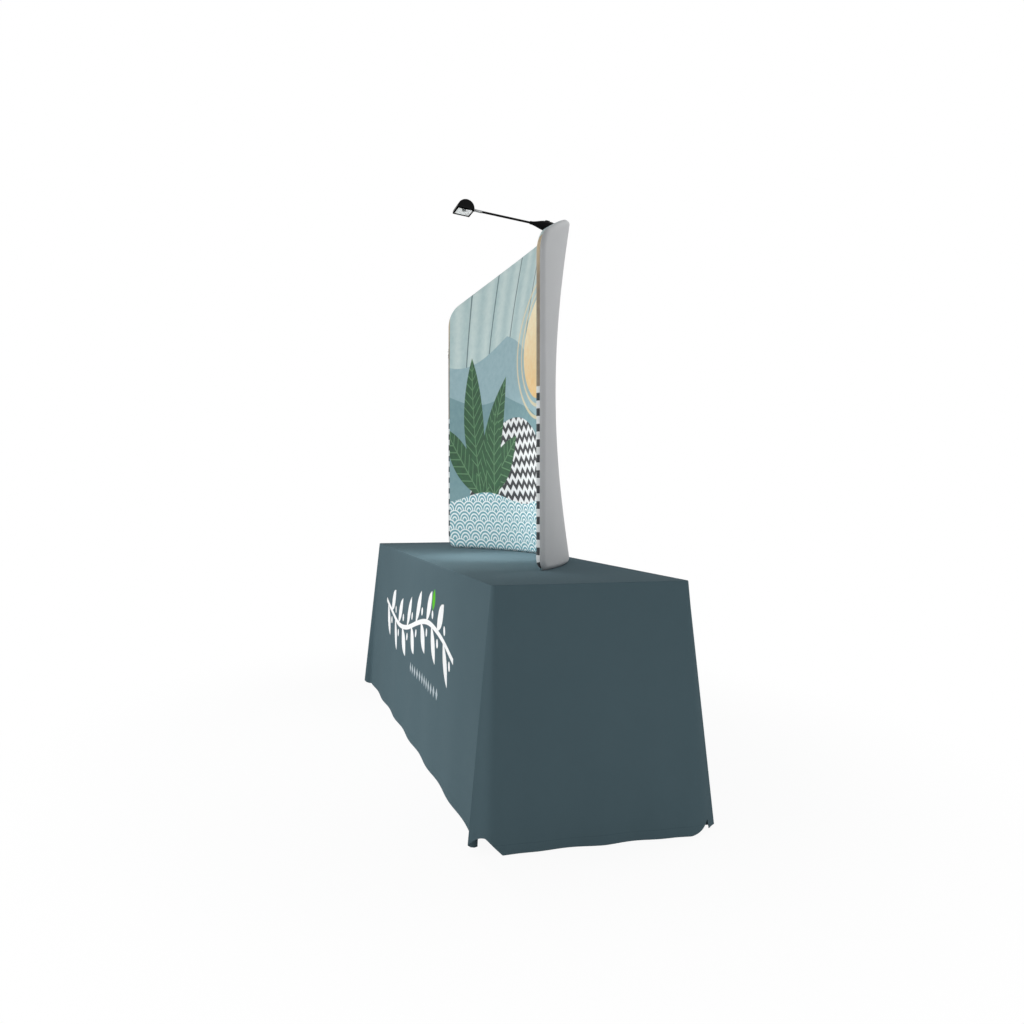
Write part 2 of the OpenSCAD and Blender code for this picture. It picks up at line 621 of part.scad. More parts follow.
function cell(i, j) = i * (grid_rows + 1) + j;
function strip(k, l) = let (b = border[l % border_n]) k == 0 ? cell(b[0], b[1])
    : grid_n * (grid_rows + 1) + (k - 1) * border_n + l % border_n;
sheet_tris = concat(
    [for (i = [0:grid_n - 2]) for (j = [0:grid_rows - 1]) each [
        [cell(i, j), cell(i, j + 1), cell(i + 1, j)],
        [cell(i + 1, j), cell(i, j + 1), cell(i + 1, j + 1)]]],
    [for (k = [0:wrap_steps - 1]) for (l = [0:border_n - 1]) each [
        [strip(k, l), strip(k, l + 1), strip(k + 1, l)],
        [strip(k, l + 1), strip(k + 1, l + 1), strip(k + 1, l)]]]);
sheet_rim = [for (l = [0:border_n - 1]) strip(wrap_steps, l)];
module front_graphic() color([0.55, 0.68, 0.7])
    thick_sheet(sheet_points(-1, skin_r), sheet_points(-1, skin_r - fabric_t), sheet_tris, sheet_rim);
module back_fabric() color([0.7, 0.7, 0.7])
    thick_sheet(sheet_points(1, skin_r), sheet_points(1, skin_r - fabric_t), sheet_tris, sheet_rim, true);

// Zip on the left pole's seam: X outwards from the pole, Z up.
tape_t = 1;
chain_w = 5;
chain_t = 1.6;
slider_h = 14;
slider_top = 3;
zip_x = skin_r + soft_gap;
zip_z = cloth_top + zip_rise;
pull_x = zip_x + tape_t + chain_t + soft_gap + slider_top + 1.6;
module at_zip(z) translate(on_arc(-reach, z)) rotate([0, 0, 180 + arc_half]) children();
module zip_chain() color("dimgray") at_zip(zip_z) {
    linear_extrude(zip_l) intersection() {
        difference() {
            circle(zip_x + tape_t);
            circle(zip_x);
        }
        translate([0, -zip_w / 2]) square([zip_x + tape_t + 1, zip_w]);
    }
    translate([zip_x + tape_t / 2, -chain_w / 2, 0]) cube([tape_t / 2 + chain_t, chain_w, zip_l]);
}
zip_park = zip_z + zip_l - slider_h - 10;
module zip_slider() color("silver") at_zip(zip_park) {
    difference() {
        translate([zip_x + tape_t + soft_gap, -chain_w / 2 - 2.5, 0])
            cube([chain_t + slider_top, chain_w + 5, slider_h]);
        translate([zip_x, -chain_w / 2 - soft_gap, -1])
            cube([tape_t + chain_t + soft_gap, chain_w + 2 * soft_gap, slider_h + 2]);
    }
    for (y = [-1, 1]) translate([pull_x - 3, y * 2.6 - 0.8, slider_h - 5]) cube([4, 1.6, 4]);
    translate([pull_x, 0, slider_h - 3]) bar_y(0.8, 5.2);
}
module zip_pull() color("silver") at_zip(zip_park) translate([pull_x, 0, slider_h - 3])
    rotate([-90, 0, 0]) translate([0, 0, -1.5]) linear_extrude(3) difference() {
        union() {
            circle(1.5);
            translate([-0.6, 0]) square([1.4, 30]);
        }
        circle(0.8 + run_gap);
    }

// Lamp clamp, measured from the middle of the top tube

clamp_y = on_arc(first_s, 0)[1];
clamp_z = high_z(first_s);
saddle_r = skin_r + soft_gap;
jaw_y = saddle_r + pad_t + pad_travel + soft_gap;
saddle_top = saddle_r + clamp_wall;
lamp_pivot_z = clamp_z + saddle_top + 0.5 + ear_r;
jaw_drop = 12;
ear_wall = 4;
module across(w) rotate([90, 0, 90]) linear_extrude(w, center = true) children();
module at_clamp() translate([0, clamp_y, clamp_z]) children();
module at_pivot() translate([0, clamp_y, lamp_pivot_z]) children();

nose_out = 21;
module clamp_bracket() color([0.12, 0.12, 0.12]) {
    at_clamp() translate([0, -saddle_r - clamp_wall + 1, 0]) across(clamp_w)
        polygon([[0, saddle_top - 3], [-9, saddle_top - 4], [-nose_out, 5], [-nose_out, -2], [-nose_out + 3, -5], [0, -5]]);
    at_clamp() difference() {
        across(clamp_w) difference() {
            translate([-saddle_r - clamp_wall, -jaw_drop])
                square([saddle_r + clamp_wall + jaw_y + jaw_t, saddle_top + jaw_drop]);
            circle(saddle_r);
            translate([-saddle_r - clamp_wall - 1, -jaw_drop - 1]) square([saddle_r + clamp_wall + 1, jaw_drop + 1]);
            translate([0, -jaw_drop - 1]) square([jaw_y, jaw_drop + 1 + pad_r + 1]);
        }
        translate([0, jaw_y + jaw_t / 2, 0]) bar_y(clamp_screw_r + run_gap, jaw_t + 2);
    }
    at_pivot() for (x = [-1, 1]) translate([x * (ear_x + ear_wall / 2), 0, 0]) across(ear_wall) difference() {
        union() {
            circle(ear_r);
            translate([-ear_r, -ear_r - 1]) square([2 * ear_r, ear_r + 1]);
        }
        circle(lamp_pin_r + run_gap);
    }
}
module clamp_pin() color("silver") at_pivot() {
    bar_x(lamp_pin_r, 2 * (ear_x + ear_wall + 1.5));
    for (x = [-1, 1]) translate([x * (ear_x + ear_wall + 1), 0, 0]) bar_x(lamp_pin_r + 1.2, 1.6);
}
screw_tip = saddle_r + pad_t;
screw_l = pad_travel + jaw_t + 12;
module clamp_screw() color("silver") at_clamp() translate([0, screw_tip + screw_l / 2, 0])
    bar_y(clamp_screw_r, screw_l);
module clamp_pad() color("black") at_clamp() translate([0, saddle_r + pad_t / 2, 0]) bar_y(pad_r, pad_t);
knob_y = jaw_y + jaw_t + 1.5;
module clamp_knob() color("black") at_clamp() translate([0, knob_y + knob_l / 2, 0]) difference() {
    bar_y(knob_r, knob_l);
    bar_y(clamp_screw_r + run_gap, knob_l + 2);
    for (i = [0:7]) rotate([0, i * 45, 0]) translate([knob_r + 1.5, 0, 0]) bar_y(3.5, knob_l + 2);
}

// Lamp, from its pivot: -Y runs forward along the arm, Z square to it.

house_rear = 9;
module at_lamp() at_pivot() rotate([-arm_lean, 0, 0]) children();
module at_axis(u) at_lamp() translate([0, -u, arm_rise]) children();
module turned_forward() rotate([90, 0, 0]) children();

body_end = 25;
function house_at(u) = u <= body_end ? house_r
    : nose_r + (house_r - nose_r) * (1 + cos(180 * (u - body_end) / (house_nose - body_end))) / 2;
nose_plug = 15;
function house_line(inset) = concat(
    [[0, -house_rear + inset], [house_r * 0.68 - inset, -house_rear + inset],
     [house_r * 0.9 - inset, -house_rear + 3.5 + inset / 2], [house_r - inset, 4]],
    [for (i = [0:6]) let (u = body_end + (house_nose - body_end) * i / 6)
        if (inset == 0 || u < house_nose - nose_plug) [house_at(u) - inset, u]],
    inset == 0 ? [[0, house_nose]]
        : [[house_at(house_nose - nose_plug) - inset, house_nose - nose_plug], [0, house_nose - nose_plug]]);
post_us = [20, 46];
post_x = 8;
board_v = -5;
inlet_r = 5;
screw_us = [9, 56];
screw_post_r = 3;
module at_house_screws() for (u = screw_us) at_axis(u) children();
function wall_v(u, x) = sqrt(pow(house_at(u) - house_wall / 2, 2) - x * x);
module house_shell(up) at_axis(0) turned_forward() rotate([0, 0, up ? 0 : 180])
    rotate_extrude(angle = 180) polygon(concat(house_line(0), let (l = house_line(house_wall), n = len(l))
        [for (i = [n - 1:-1:0]) l[i]]));
module house_holes() {
    at_axis(house_nose) turned_forward() translate([0, 0, -nose_plug - 1])
        cylinder(r = arm_r + run_gap, h = nose_plug + 2);
    at_axis(-house_rear) turned_forward() translate([0, 0, -2]) cylinder(r = inlet_r + run_gap, h = 8);
}
module housing_lower() color([0.1, 0.1, 0.1]) difference() {
    union() {
        house_shell(false);
        for (u = post_us) for (x = [-1, 1]) at_axis(u) translate([x * post_x, 0, -wall_v(u, post_x)])
            cylinder(r = 2, h = wall_v(u, post_x) + board_v);
        for (u = screw_us) at_axis(u) translate([0, 0, -wall_v(u, 0)])
            cylinder(r = screw_post_r, h = wall_v(u, 0));
        at_lamp() across(2 * (ear_x - soft_gap)) circle(ear_r);
        at_lamp() difference() {
            across(2 * (ear_x - soft_gap)) translate([-ear_r, 0]) square([2 * ear_r, arm_rise]);
            translate([0, 0, arm_rise]) bar_y(house_r - house_wall, 40);
        }
    }
    at_lamp() bar_x(lamp_pin_r + run_gap, 2 * ear_x);
    house_holes();
    at_house_screws() translate([0, 0, -house_r - 5]) cylinder(r = 1.2 + run_gap, h = house_r + 10);
    at_house_screws() translate([0, 0, -house_r - 5]) cylinder(r = 2.4, h = 5 + house_r - 8);
}
module housing_upper() color([0.1, 0.1, 0.1]) difference() {
    union() {
        house_shell(true);
        for (u = screw_us) at_axis(u)
            cylinder(r = screw_post_r, h = wall_v(u, 0));
    }
    house_holes();
    at_house_screws() translate([0, 0, -1]) cylinder(r = 1.2 + run_gap, h = 7);
    at_axis(switch_u) translate([-switch_w / 2 - soft_gap, -switch_d / 2 - soft_gap, 0])
        cube([switch_w + 2 * soft_gap, switch_d + 2 * soft_gap, house_r + 5]);
}
module housing_screws() color("silver") at_house_screws() {
    translate([0, 0, -8]) cylinder(r = 1.2, h = 13);
    translate([0, 0, -9.5]) cylinder(r = 2.2, h = 1.5);
}
driver_l = 38;
module driver_board() color("darkgreen") at_axis(14) {
    translate([-11, -driver_l, board_v]) cube([22, driver_l, 1.6]);
    translate([-7, -15, board_v + 1.6]) cube([14, 12, 9]);
    translate([-5, -36, board_v + 1.6]) cube([10, 12, 5]);
    for (x = [-6, 6]) translate([x, -20, board_v + 1.6]) cylinder(r = 2.5, h = 7);
}
module power_inlet() color("black") at_axis(-house_rear) turned_forward() difference() {
    translate([0, 0, -1.5]) {
        cylinder(r = inlet_r, h = 12);
        cylinder(r = inlet_r + 1, h = 1.3);
    }
    translate([0, 0, -2]) cylinder(r = 2.8, h = 9);
}
switch_u = 22;
switch_w = 15;
switch_d = 17;
rocker_r = 6;
rocker_w = 9;
rocker_v = house_r - 4;
module switch_bezel() color([0.15, 0.15, 0.15]) at_axis(switch_u) difference() {
    union() {
        translate([-switch_w / 2, -switch_d / 2, rocker_v - 7]) cube([switch_w, switch_d, house_r - rocker_v + 7.5]);
        translate([-switch_w / 2 - 1, -switch_d / 2 - 1, house_r + 0.1]) cube([switch_w + 2, switch_d + 2, 1.2]);
    }
    translate([-rocker_w / 2 - soft_gap, -rocker_r - soft_gap, rocker_v - 6])
        cube([rocker_w + 2 * soft_gap, 2 * (rocker_r + soft_gap), 20]);
    translate([0, 0, rocker_v]) bar_x(1 + run_gap, rocker_w + 4);
}
rocker_tilt = 8;
module switch_rocker() color("black") at_axis(switch_u) translate([0, 0, rocker_v]) rotate([rocker_tilt, 0, 0]) {
    difference() {
        bar_x(rocker_r, rocker_w);
        translate([-rocker_w, -2 * rocker_r, -3 * rocker_r]) cube([2 * rocker_w, 4 * rocker_r, 3 * rocker_r - 2]);
        for (y = [0, 1]) mirror([0, y, 0]) rotate([-rocker_tilt, 0, 0])
            translate([-rocker_w, 0, rocker_r - 0.6]) cube([2 * rocker_w, 2 * rocker_r, rocker_r]);
    }
    bar_x(1, rocker_w + 3);
}
arm_root = 20;
module lamp_arm() color([0.08, 0.08, 0.08]) at_axis(house_nose - arm_root) turned_forward() difference() {
    union() {
        cylinder(r = arm_r, h = arm_root + arm_l + 12);
        cylinder(r = arm_r + 1.5, h = 3);
    }
    translate([0, 0, -1]) cylinder(r = arm_r - 1.2, h = arm_root + arm_l + 14);
}
neck_u = house_nose + arm_l;
head_u = neck_u + neck_l + 8;
module lamp_neck() color("silver") {
    at_axis(neck_u) turned_forward() difference() {
        cylinder(r = neck_r, h = neck_l);
        translate([0, 0, -1]) cylinder(r = arm_r + run_gap, h = 14);
    }
    at_axis(head_u) across(tongue_t) difference() {
        union() {
            circle(neck_r - 0.5);
            translate([0, -neck_r + 1]) square([12, 2 * neck_r - 2]);
        }
        circle(head_pin_r + run_gap);
    }
}
hood_gap = 7;
hood_u = head_u + hood_r + hood_gap;
module at_hood() at_axis(hood_u) translate([0, 0, -lens_drop]) children();

// A drum's upper half on a low straight skirt, from the lens plane up.
module hood_form(inset, floor_v) across(hood_w - 2 * inset) {
    intersection() {
        translate([0, hood_skirt]) circle(hood_r - inset);
        translate([-2 * hood_r, hood_skirt]) square([4 * hood_r, 2 * hood_r]);
    }
    translate([-hood_r + inset, floor_v]) square([2 * (hood_r - inset), hood_skirt + 0.001 - floor_v]);
}
hood_ear = 3.2;
module head_hood() color([0.08, 0.08, 0.08]) difference() {
    union() {
        at_hood() hood_form(0, 0);
        for (x = [-1, 1]) at_axis(head_u) translate([x * (tongue_t / 2 + soft_gap + hood_ear / 2), 0, 0])
            across(hood_ear) {
                circle(neck_r);
                translate([-hood_gap - hood_wall / 2 - hood_r / 6, -neck_r])
                    square([hood_gap + hood_wall / 2 + hood_r / 6, 2 * neck_r]);
            }
    }
    at_hood() hood_form(hood_wall, -1);
    at_axis(head_u) bar_x(head_pin_r + run_gap, hood_w);
}
module head_pin() color("silver") at_axis(head_u) {
    bar_x(head_pin_r, 2 * (tongue_t / 2 + soft_gap + hood_ear + 1.2));
    for (x = [-1, 1]) translate([x * (tongue_t / 2 + soft_gap + hood_ear + 0.8), 0, 0]) bar_x(head_pin_r + 1, 1.2);
}
mirror_t = 1.2;
lamp_r = 4;
lamp_v = 14;
module head_reflector() color("white") at_hood() difference() {
    hood_form(hood_wall + soft_gap, 0.3);
    hood_form(hood_wall + soft_gap + mirror_t, -1);
    cylinder(r = lamp_r + run_gap, h = 2 * hood_r + hood_skirt);
}
module head_led() color("gray") at_hood() {
    translate([0, 0, lamp_v]) cylinder(r = lamp_r, h = hood_skirt + hood_r - hood_wall - soft_gap - lamp_v);
    translate([0, 0, lamp_v]) cylinder(r = 9, h = 12);
    translate([0, 0, lamp_v]) sphere(r = 8);
}
bezel_d = 2 * hood_r;
lip = 3;
module head_bezel() color([0.08, 0.08, 0.08]) at_hood() difference() {
    translate([-hood_w / 2, -bezel_d / 2, -bezel_t]) cube([hood_w, bezel_d, bezel_t]);
    translate([-hood_w / 2 + bezel_w, -bezel_d / 2 + bezel_w, -bezel_t - 1])
        cube([hood_w - 2 * bezel_w, bezel_d - 2 * bezel_w, bezel_t + 2]);
    translate([-hood_w / 2 + bezel_w - lip, -bezel_d / 2 + bezel_w - lip, -lens_t])
        cube([hood_w - 2 * bezel_w + 2 * lip, bezel_d - 2 * bezel_w + 2 * lip, lens_t + 1]);
}
lens_lip = lip - 0.2;
module head_lens() color([0.9, 0.95, 1, 0.4]) at_hood()
    translate([-hood_w / 2 + bezel_w - lens_lip, -bezel_d / 2 + bezel_w - lens_lip, -lens_t])
        cube([hood_w - 2 * bezel_w + 2 * lens_lip, bezel_d - 2 * bezel_w + 2 * lens_lip, lens_t]);

table_board();
board_edging_long();
board_edging_short();
board_battens();
rail_front();
rail_back();
rail_screws();
leg_frame_left();
leg_frame_right();
foot_caps_left();
foot_caps_right();
brace_bracket_left();
brace_bracket_right();
brace_upper_left();
brace_upper_right();
brace_lower_left();
brace_lower_right();
table_throw();
frame_end_left();
frame_end_right();
frame_top_tube();
frame_bottom_tube();
tube_ferrules();
snap_button_top_left();
snap_button_top_right();
snap_button_bottom_left();
snap_button_bottom_right();
front_graphic();
back_fabric();
zip_chain();
zip_slider();
zip_pull();
clamp_bracket();
clamp_pin();
clamp_screw();
clamp_pad();
clamp_knob();
housing_lower();
housing_upper();
housing_screws();
driver_board();
power_inlet();
switch_bezel();
switch_rocker();
lamp_arm();
lamp_neck();
head_hood();
head_pin();
head_reflector();
head_led();
head_bezel();
head_lens();
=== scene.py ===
"""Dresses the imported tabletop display: a clothed folding table, a curved fabric panel and a clamp-on lamp.

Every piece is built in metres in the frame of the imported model: +X along the table,
+Y to its back, +Z up, with the origin on the floor below the middle of the table.
"""

from __future__ import annotations

import json
import logging
import math
from dataclasses import dataclass, field
from enum import Enum
from typing import Callable, Optional, Sequence, Union

import bpy
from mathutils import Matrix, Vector

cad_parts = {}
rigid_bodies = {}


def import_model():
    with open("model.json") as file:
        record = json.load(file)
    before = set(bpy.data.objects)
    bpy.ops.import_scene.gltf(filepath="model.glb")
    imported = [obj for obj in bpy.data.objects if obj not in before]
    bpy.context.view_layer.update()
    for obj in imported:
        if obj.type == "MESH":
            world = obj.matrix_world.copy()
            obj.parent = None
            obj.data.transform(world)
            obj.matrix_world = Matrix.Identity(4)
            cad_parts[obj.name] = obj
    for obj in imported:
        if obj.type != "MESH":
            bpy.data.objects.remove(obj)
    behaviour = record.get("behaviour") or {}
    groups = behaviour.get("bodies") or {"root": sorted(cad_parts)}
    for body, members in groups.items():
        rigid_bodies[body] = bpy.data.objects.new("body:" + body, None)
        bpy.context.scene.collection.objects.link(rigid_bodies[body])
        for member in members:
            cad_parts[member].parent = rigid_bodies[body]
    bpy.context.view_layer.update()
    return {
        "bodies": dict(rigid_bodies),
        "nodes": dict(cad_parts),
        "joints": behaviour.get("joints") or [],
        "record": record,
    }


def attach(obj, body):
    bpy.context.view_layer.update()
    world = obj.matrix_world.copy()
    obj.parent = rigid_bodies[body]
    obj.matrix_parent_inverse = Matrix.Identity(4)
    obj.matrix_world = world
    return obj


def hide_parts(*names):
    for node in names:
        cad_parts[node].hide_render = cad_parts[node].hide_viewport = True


LOG = logging.getLogger("display")
Point = tuple[float, float, float]
Colour = tuple[float, float, float]
Place = tuple[float, float]
Number = Union[float, int, "Signal"]
FULL_TURN = 2 * math.pi
SHARP_EDGE = 35.0


def linear(red: float, green: float, blue: float) -> Colour:
    """Turns a colour as it is seen on a screen, 0 to 255, into scene-linear values.

    Args:
        red: The red value.
        green: The green value.
        blue: The blue value.

    Returns:
        The three linear values.
    """
    def channel(value: float) -> float:
        """Returns one channel's linear value."""
        share = value / 255
        return share / 12.92 if share <= 0.04045 else ((share + 0.055) / 1.055) ** 2.4

    return channel(red), channel(green), channel(blue)


def shifted(colour: Colour, factor: float, lift: float = 0.0) -> Colour:
    """Returns a colour made brighter or darker, with no channel over 1."""
    return tuple(min(1.0, channel * factor + lift) for channel in colour)


def mix(a: float, b: float, share: float) -> float:
    """Returns the value that lies share of the way from a to b."""
    return a * (1 - share) + b * share


def smooth(share: float) -> float:
    """Returns a share from 0 to 1 eased at both ends."""
    held = min(1.0, max(0.0, share))
    return held * held * (3 - 2 * held)


def placed(name: str, data: bpy.types.ID, place: Point = (0.0, 0.0, 0.0),
           way: Optional[Sequence[float]] = None) -> bpy.types.Object:
    """Makes an object of new data and links it into the scene.

    Args:
        name: The object's name.
        data: Its mesh, curve, lamp or camera.
        place: Where it stands.
        way: Where a lamp or camera points.

    Returns:
        The object.
    """
    made = bpy.data.objects.new(name, data)
    bpy.context.scene.collection.objects.link(made)
    made.location = place
    if way is not None:
        made.rotation_euler = Vector(way).to_track_quat("-Z", "Y").to_euler()
    return made


class Signal:
    """A shader socket that takes Python's operators, each of which adds a Math node."""

    def __init__(self, sheet: "NodeSheet", socket: bpy.types.NodeSocket) -> None:
        """Wraps one output socket of a sheet."""
        self.sheet = sheet
        self.socket = socket

    def __add__(self, other: Number) -> "Signal":
        """Returns the sum."""
        return self.sheet.maths("ADD", self, other)

    __radd__ = __add__

    def __sub__(self, other: Number) -> "Signal":
        """Returns the difference."""
        return self.sheet.maths("SUBTRACT", self, other)

    def __rsub__(self, other: Number) -> "Signal":
        """Returns the difference the other way round."""
        return self.sheet.maths("SUBTRACT", other, self)

    def __mul__(self, other: Number) -> "Signal":
        """Returns the product."""
        return self.sheet.maths("MULTIPLY", self, other)

    __rmul__ = __mul__

    def __truediv__(self, other: Number) -> "Signal":
        """Returns the quotient."""
        return self.sheet.maths("DIVIDE", self, other)

    def __pow__(self, other: Number) -> "Signal":
        """Returns the power."""
        return self.sheet.maths("POWER", self, other)

    def __abs__(self) -> "Signal":
        """Returns the size without its sign."""
        return self.sheet.maths("ABSOLUTE", self)

    def sine(self) -> "Signal":
        """Returns the sine of an angle in radians."""
        return self.sheet.maths("SINE", self)

    def wave(self, pitch: float) -> "Signal":
        """Returns a sine wave with one crest to a pitch."""
        return (self * (FULL_TURN / pitch)).sine()

    def root(self) -> "Signal":
        """Returns the square root."""
        return self.sheet.maths("SQRT", self)

    def wrapped(self, pitch: float) -> "Signal":
        """Returns the distance from the nearest lower multiple of a pitch."""
        return self.sheet.maths("FLOORED_MODULO", self, pitch)

    def most(self, other: Number) -> "Signal":
        """Returns the larger of two values."""
        return self.sheet.maths("MAXIMUM", self, other)

    def above(self, edge: float, soft: float) -> "Signal":
        """Returns 1 over an edge and 0 under it, with a soft step of that width."""
        return self.sheet.node("ShaderNodeMapRange", {"interpolation_type": "SMOOTHSTEP"},
                               {0: self, 1: edge - soft / 2, 2: edge + soft / 2, 3: 0.0, 4: 1.0})

    def below(self, edge: float, soft: float) -> "Signal":
        """Returns 1 under an edge and 0 over it, with a soft step of that width."""
        return 1 - self.above(edge, soft)


class NodeSheet:
    """A node tree, written as expressions."""

    def __init__(self, tree: bpy.types.NodeTree, output: str) -> None:
        """Empties a node tree and gives it its output node.

        Args:
            tree: The node tree.
            output: The output node's type.
        """
        self.tree = tree
        self.tree.nodes.clear()
        self.output = self.tree.nodes.new(output)

    def node(self, kind: str, settings: Optional[dict] = None, inputs: Optional[dict] = None,
             output: Union[int, str] = 0) -> Signal:
        """Adds any node.

        Args:
            kind: The node's type.
            settings: Its own settings, which are set first.
            inputs: Values or signals by the input's name or number.
            output: The output that is wanted.

        Returns:
            That output as a signal.
        """
        made = self.tree.nodes.new(kind)
        for key, value in (settings or {}).items():
            setattr(made, key, value)
        for key, value in (inputs or {}).items():
            self.feed(made.inputs[key], value)
        return Signal(self, made.outputs[output])

    def feed(self, socket: bpy.types.NodeSocket, value: object) -> None:
        """Links a signal to a socket, or sets the socket's own value.

        Args:
            socket: The input socket.
            value: A signal, a number, a colour or a vector.
        """
        if isinstance(value, Signal):
            self.tree.links.new(value.socket, socket)
        elif isinstance(value, tuple) and len(value) == 3 and socket.type == "RGBA":
            socket.default_value = (*value, 1)
        else:
            socket.default_value = value

    def maths(self, operation: str, *values: Number) -> Signal:
        """Adds a Math node on up to three values."""
        return self.node("ShaderNodeMath", {"operation": operation}, dict(enumerate(values)))

    def blend(self, share: Number, low: object, high: object) -> Signal:
        """Returns two colours mixed: all of the first where the share is 0."""
        return self.node("ShaderNodeMix", {"data_type": "RGBA"}, {0: share, 6: low, 7: high}, 2)

    def parts(self, vector: Signal) -> tuple[Signal, Signal, Signal]:
        """Splits a vector.

        Args:
            vector: The vector.

        Returns:
            Its three parts.
        """
        x = self.node("ShaderNodeSeparateXYZ", inputs={0: vector})
        outputs = x.socket.node.outputs
        return x, Signal(self, outputs[1]), Signal(self, outputs[2])

    def seen(self) -> Signal:
        """Tells what the camera sees, directly, in gloss or through glass.

        Returns:
            1 where it sees, and 0 for all other light.
        """
        camera, glossy, through = (self.node("ShaderNodeLightPath", output=f"Is {ray} Ray")
                                   for ray in ("Camera", "Glossy", "Transmission"))
        return camera.most(glossy).most(through)


class ShaderSheet(NodeSheet):
    """The node tree of one material, which ends in a Principled surface."""

    def __init__(self, name: str) -> None:
        """Makes the material.

        Args:
            name: The material's name.
        """
        self.material = bpy.data.materials.new(name)
        self.material.use_nodes = True
        super().__init__(self.material.node_tree, "ShaderNodeOutputMaterial")
        self.surface = self.tree.nodes.new("ShaderNodeBsdfPrincipled")
        self.tree.links.new(self.surface.outputs[0], self.output.inputs[0])

    def place(self) -> Signal:
        """Returns the object's own coordinates."""
        return self.node("ShaderNodeTexCoord", output="Object")

    def cloth_place(self) -> Signal:
        """Returns the coordinates that follow the surface, in metres."""
        return self.node("ShaderNodeUVMap", {"uv_map": "cut"})

    def facing(self) -> tuple[Signal, Signal, Signal]:
        """Returns the three parts of the surface's normal."""
        return self.parts(self.node("ShaderNodeNewGeometry", output="Normal"))

    def noise(self, vector: Signal, scale: float, detail: float = 2.0, rough: float = 0.5) -> Signal:
        """Returns noise from 0 to 1, with so many features to a metre and finer layers."""
        return self.node("ShaderNodeTexNoise",
                         inputs={"Vector": vector, "Scale": scale, "Detail": detail, "Roughness": rough})

    def scaled(self, vector: Signal, factors: Point) -> Signal:
        """Returns a vector stretched by three factors."""
        return self.node("ShaderNodeVectorMath", {"operation": "MULTIPLY"}, {0: vector, 1: factors})

    def bump(self, height: Signal, distance: float, strength: float = 1.0,
             under: Optional[Signal] = None) -> Signal:
        """Returns a normal that a height from 0 to 1 tilts.

        Args:
            height: The height.
            distance: What a height of 1 stands for, in metres.
            strength: How much of it is used.
            under: A bump that lies under this one.

        Returns:
            The normal.
        """
        inputs = {"Strength": strength, "Distance": distance, "Height": height}
        if under is not None:
            inputs["Normal"] = under
        return self.node("ShaderNodeBump", inputs=inputs)

    def finish(self, **sockets: object) -> bpy.types.Material:
        """Feeds the surface's sockets.

        Args:
            **sockets: Values or signals by the socket's name, with underscores for spaces.

        Returns:
            The material.
        """
        for key, value in sockets.items():
            self.feed(self.surface.inputs[key.replace("_", " ")], value)
        return self.material


def woven_height(u: Signal, v: Signal, pitch: float) -> Signal:
    """Returns the height of a plain weave, from 0 to 1, from its threads' pitch."""
    return u.wave(pitch) * v.wave(pitch) * 0.5 + 0.5


def radius(across: Signal, up: Signal) -> Signal:
    """Returns the distance from the place where both values are 0."""
    return (across * across + up * up).root()


def leaf(u: Signal, v: Signal, foot: Place, turn: float, length: float,
         width: float) -> tuple[Signal, Signal, Signal]:
    """Draws one pointed leaf on a cloth.

    Args:
        u: Metres across the cloth.
        v: Metres up the cloth.
        foot: Where the leaf starts.
        turn: The way it points, in degrees.
        length: Its length.
        width: Half its width.

    Returns:
        The leaf's mask, the distance along it, and the distance from its middle line.
    """
    c, s = math.cos(math.radians(turn)), math.sin(math.radians(turn))
    du, dv = u - foot[0], v - foot[1]
    along = du * c + dv * s
    across = abs(dv * c - du * s)
    share = along / length
    room = share * (1 - share) * (4 * width)
    return (room - across).above(0.0, 0.003), along, across


@dataclass(frozen=True)
class MouldedPlastic:
    """A moulded plastic with a fine spark grain."""

    name: str
    colour: Colour
    rough: float = 0.42
    grain: float = 2600.0
    gloss: float = 0.5

    def material(self) -> bpy.types.Material:
        """Builds the material.

        Returns:
            The material.
        """
        sheet = ShaderSheet(self.name)
        where = sheet.place()
        grain = sheet.noise(where, self.grain, 2.0, 0.6)
        tone = sheet.noise(where, 9.0, 3.0, 0.5)
        dust = sheet.noise(where, 160.0, 4.0, 0.65).above(0.62, 0.2)
        base = sheet.blend(tone * 0.5 + dust * 0.18, self.colour, shifted(self.colour, 1.4, 0.001))
        return sheet.finish(Base_Color=base, Roughness=tone * 0.14 + dust * 0.08 + (self.rough - 0.07),
                            Specular_IOR_Level=self.gloss, Normal=sheet.bump(grain, 0.00006, 0.5))


@dataclass(frozen=True)
class CoatedMetal:
    """A powder-coated or painted metal with a slight orange peel."""

    name: str
    colour: Colour
    rough: float = 0.34
    peel: float = 700.0
    gloss: float = 0.5
    coat: float = 0.12

    def material(self) -> bpy.types.Material:
        """Builds the material.

        Returns:
            The material.
        """
        sheet = ShaderSheet(self.name)
        where = sheet.place()
        peel = sheet.noise(where, self.peel, 2.0, 0.5)
        wear = sheet.noise(where, 38.0, 5.0, 0.7).above(0.66, 0.12)
        tone = sheet.noise(where, 5.0, 2.0, 0.5)
        base = sheet.blend(wear * 0.35 + tone * 0.25, self.colour, shifted(self.colour, 1.3, 0.001))
        return sheet.finish(Base_Color=base, Roughness=wear * 0.16 + tone * 0.1 + (self.rough - 0.05),
                            Specular_IOR_Level=self.gloss, Coat_Weight=self.coat,
                            Normal=sheet.bump(peel, 0.00008, 0.35))


class Brushing(Enum):
    """The way in which a metal's brush lines run."""

    ALONG_X = (4.0, 900.0, 900.0)
    NONE = (240.0, 240.0, 240.0)


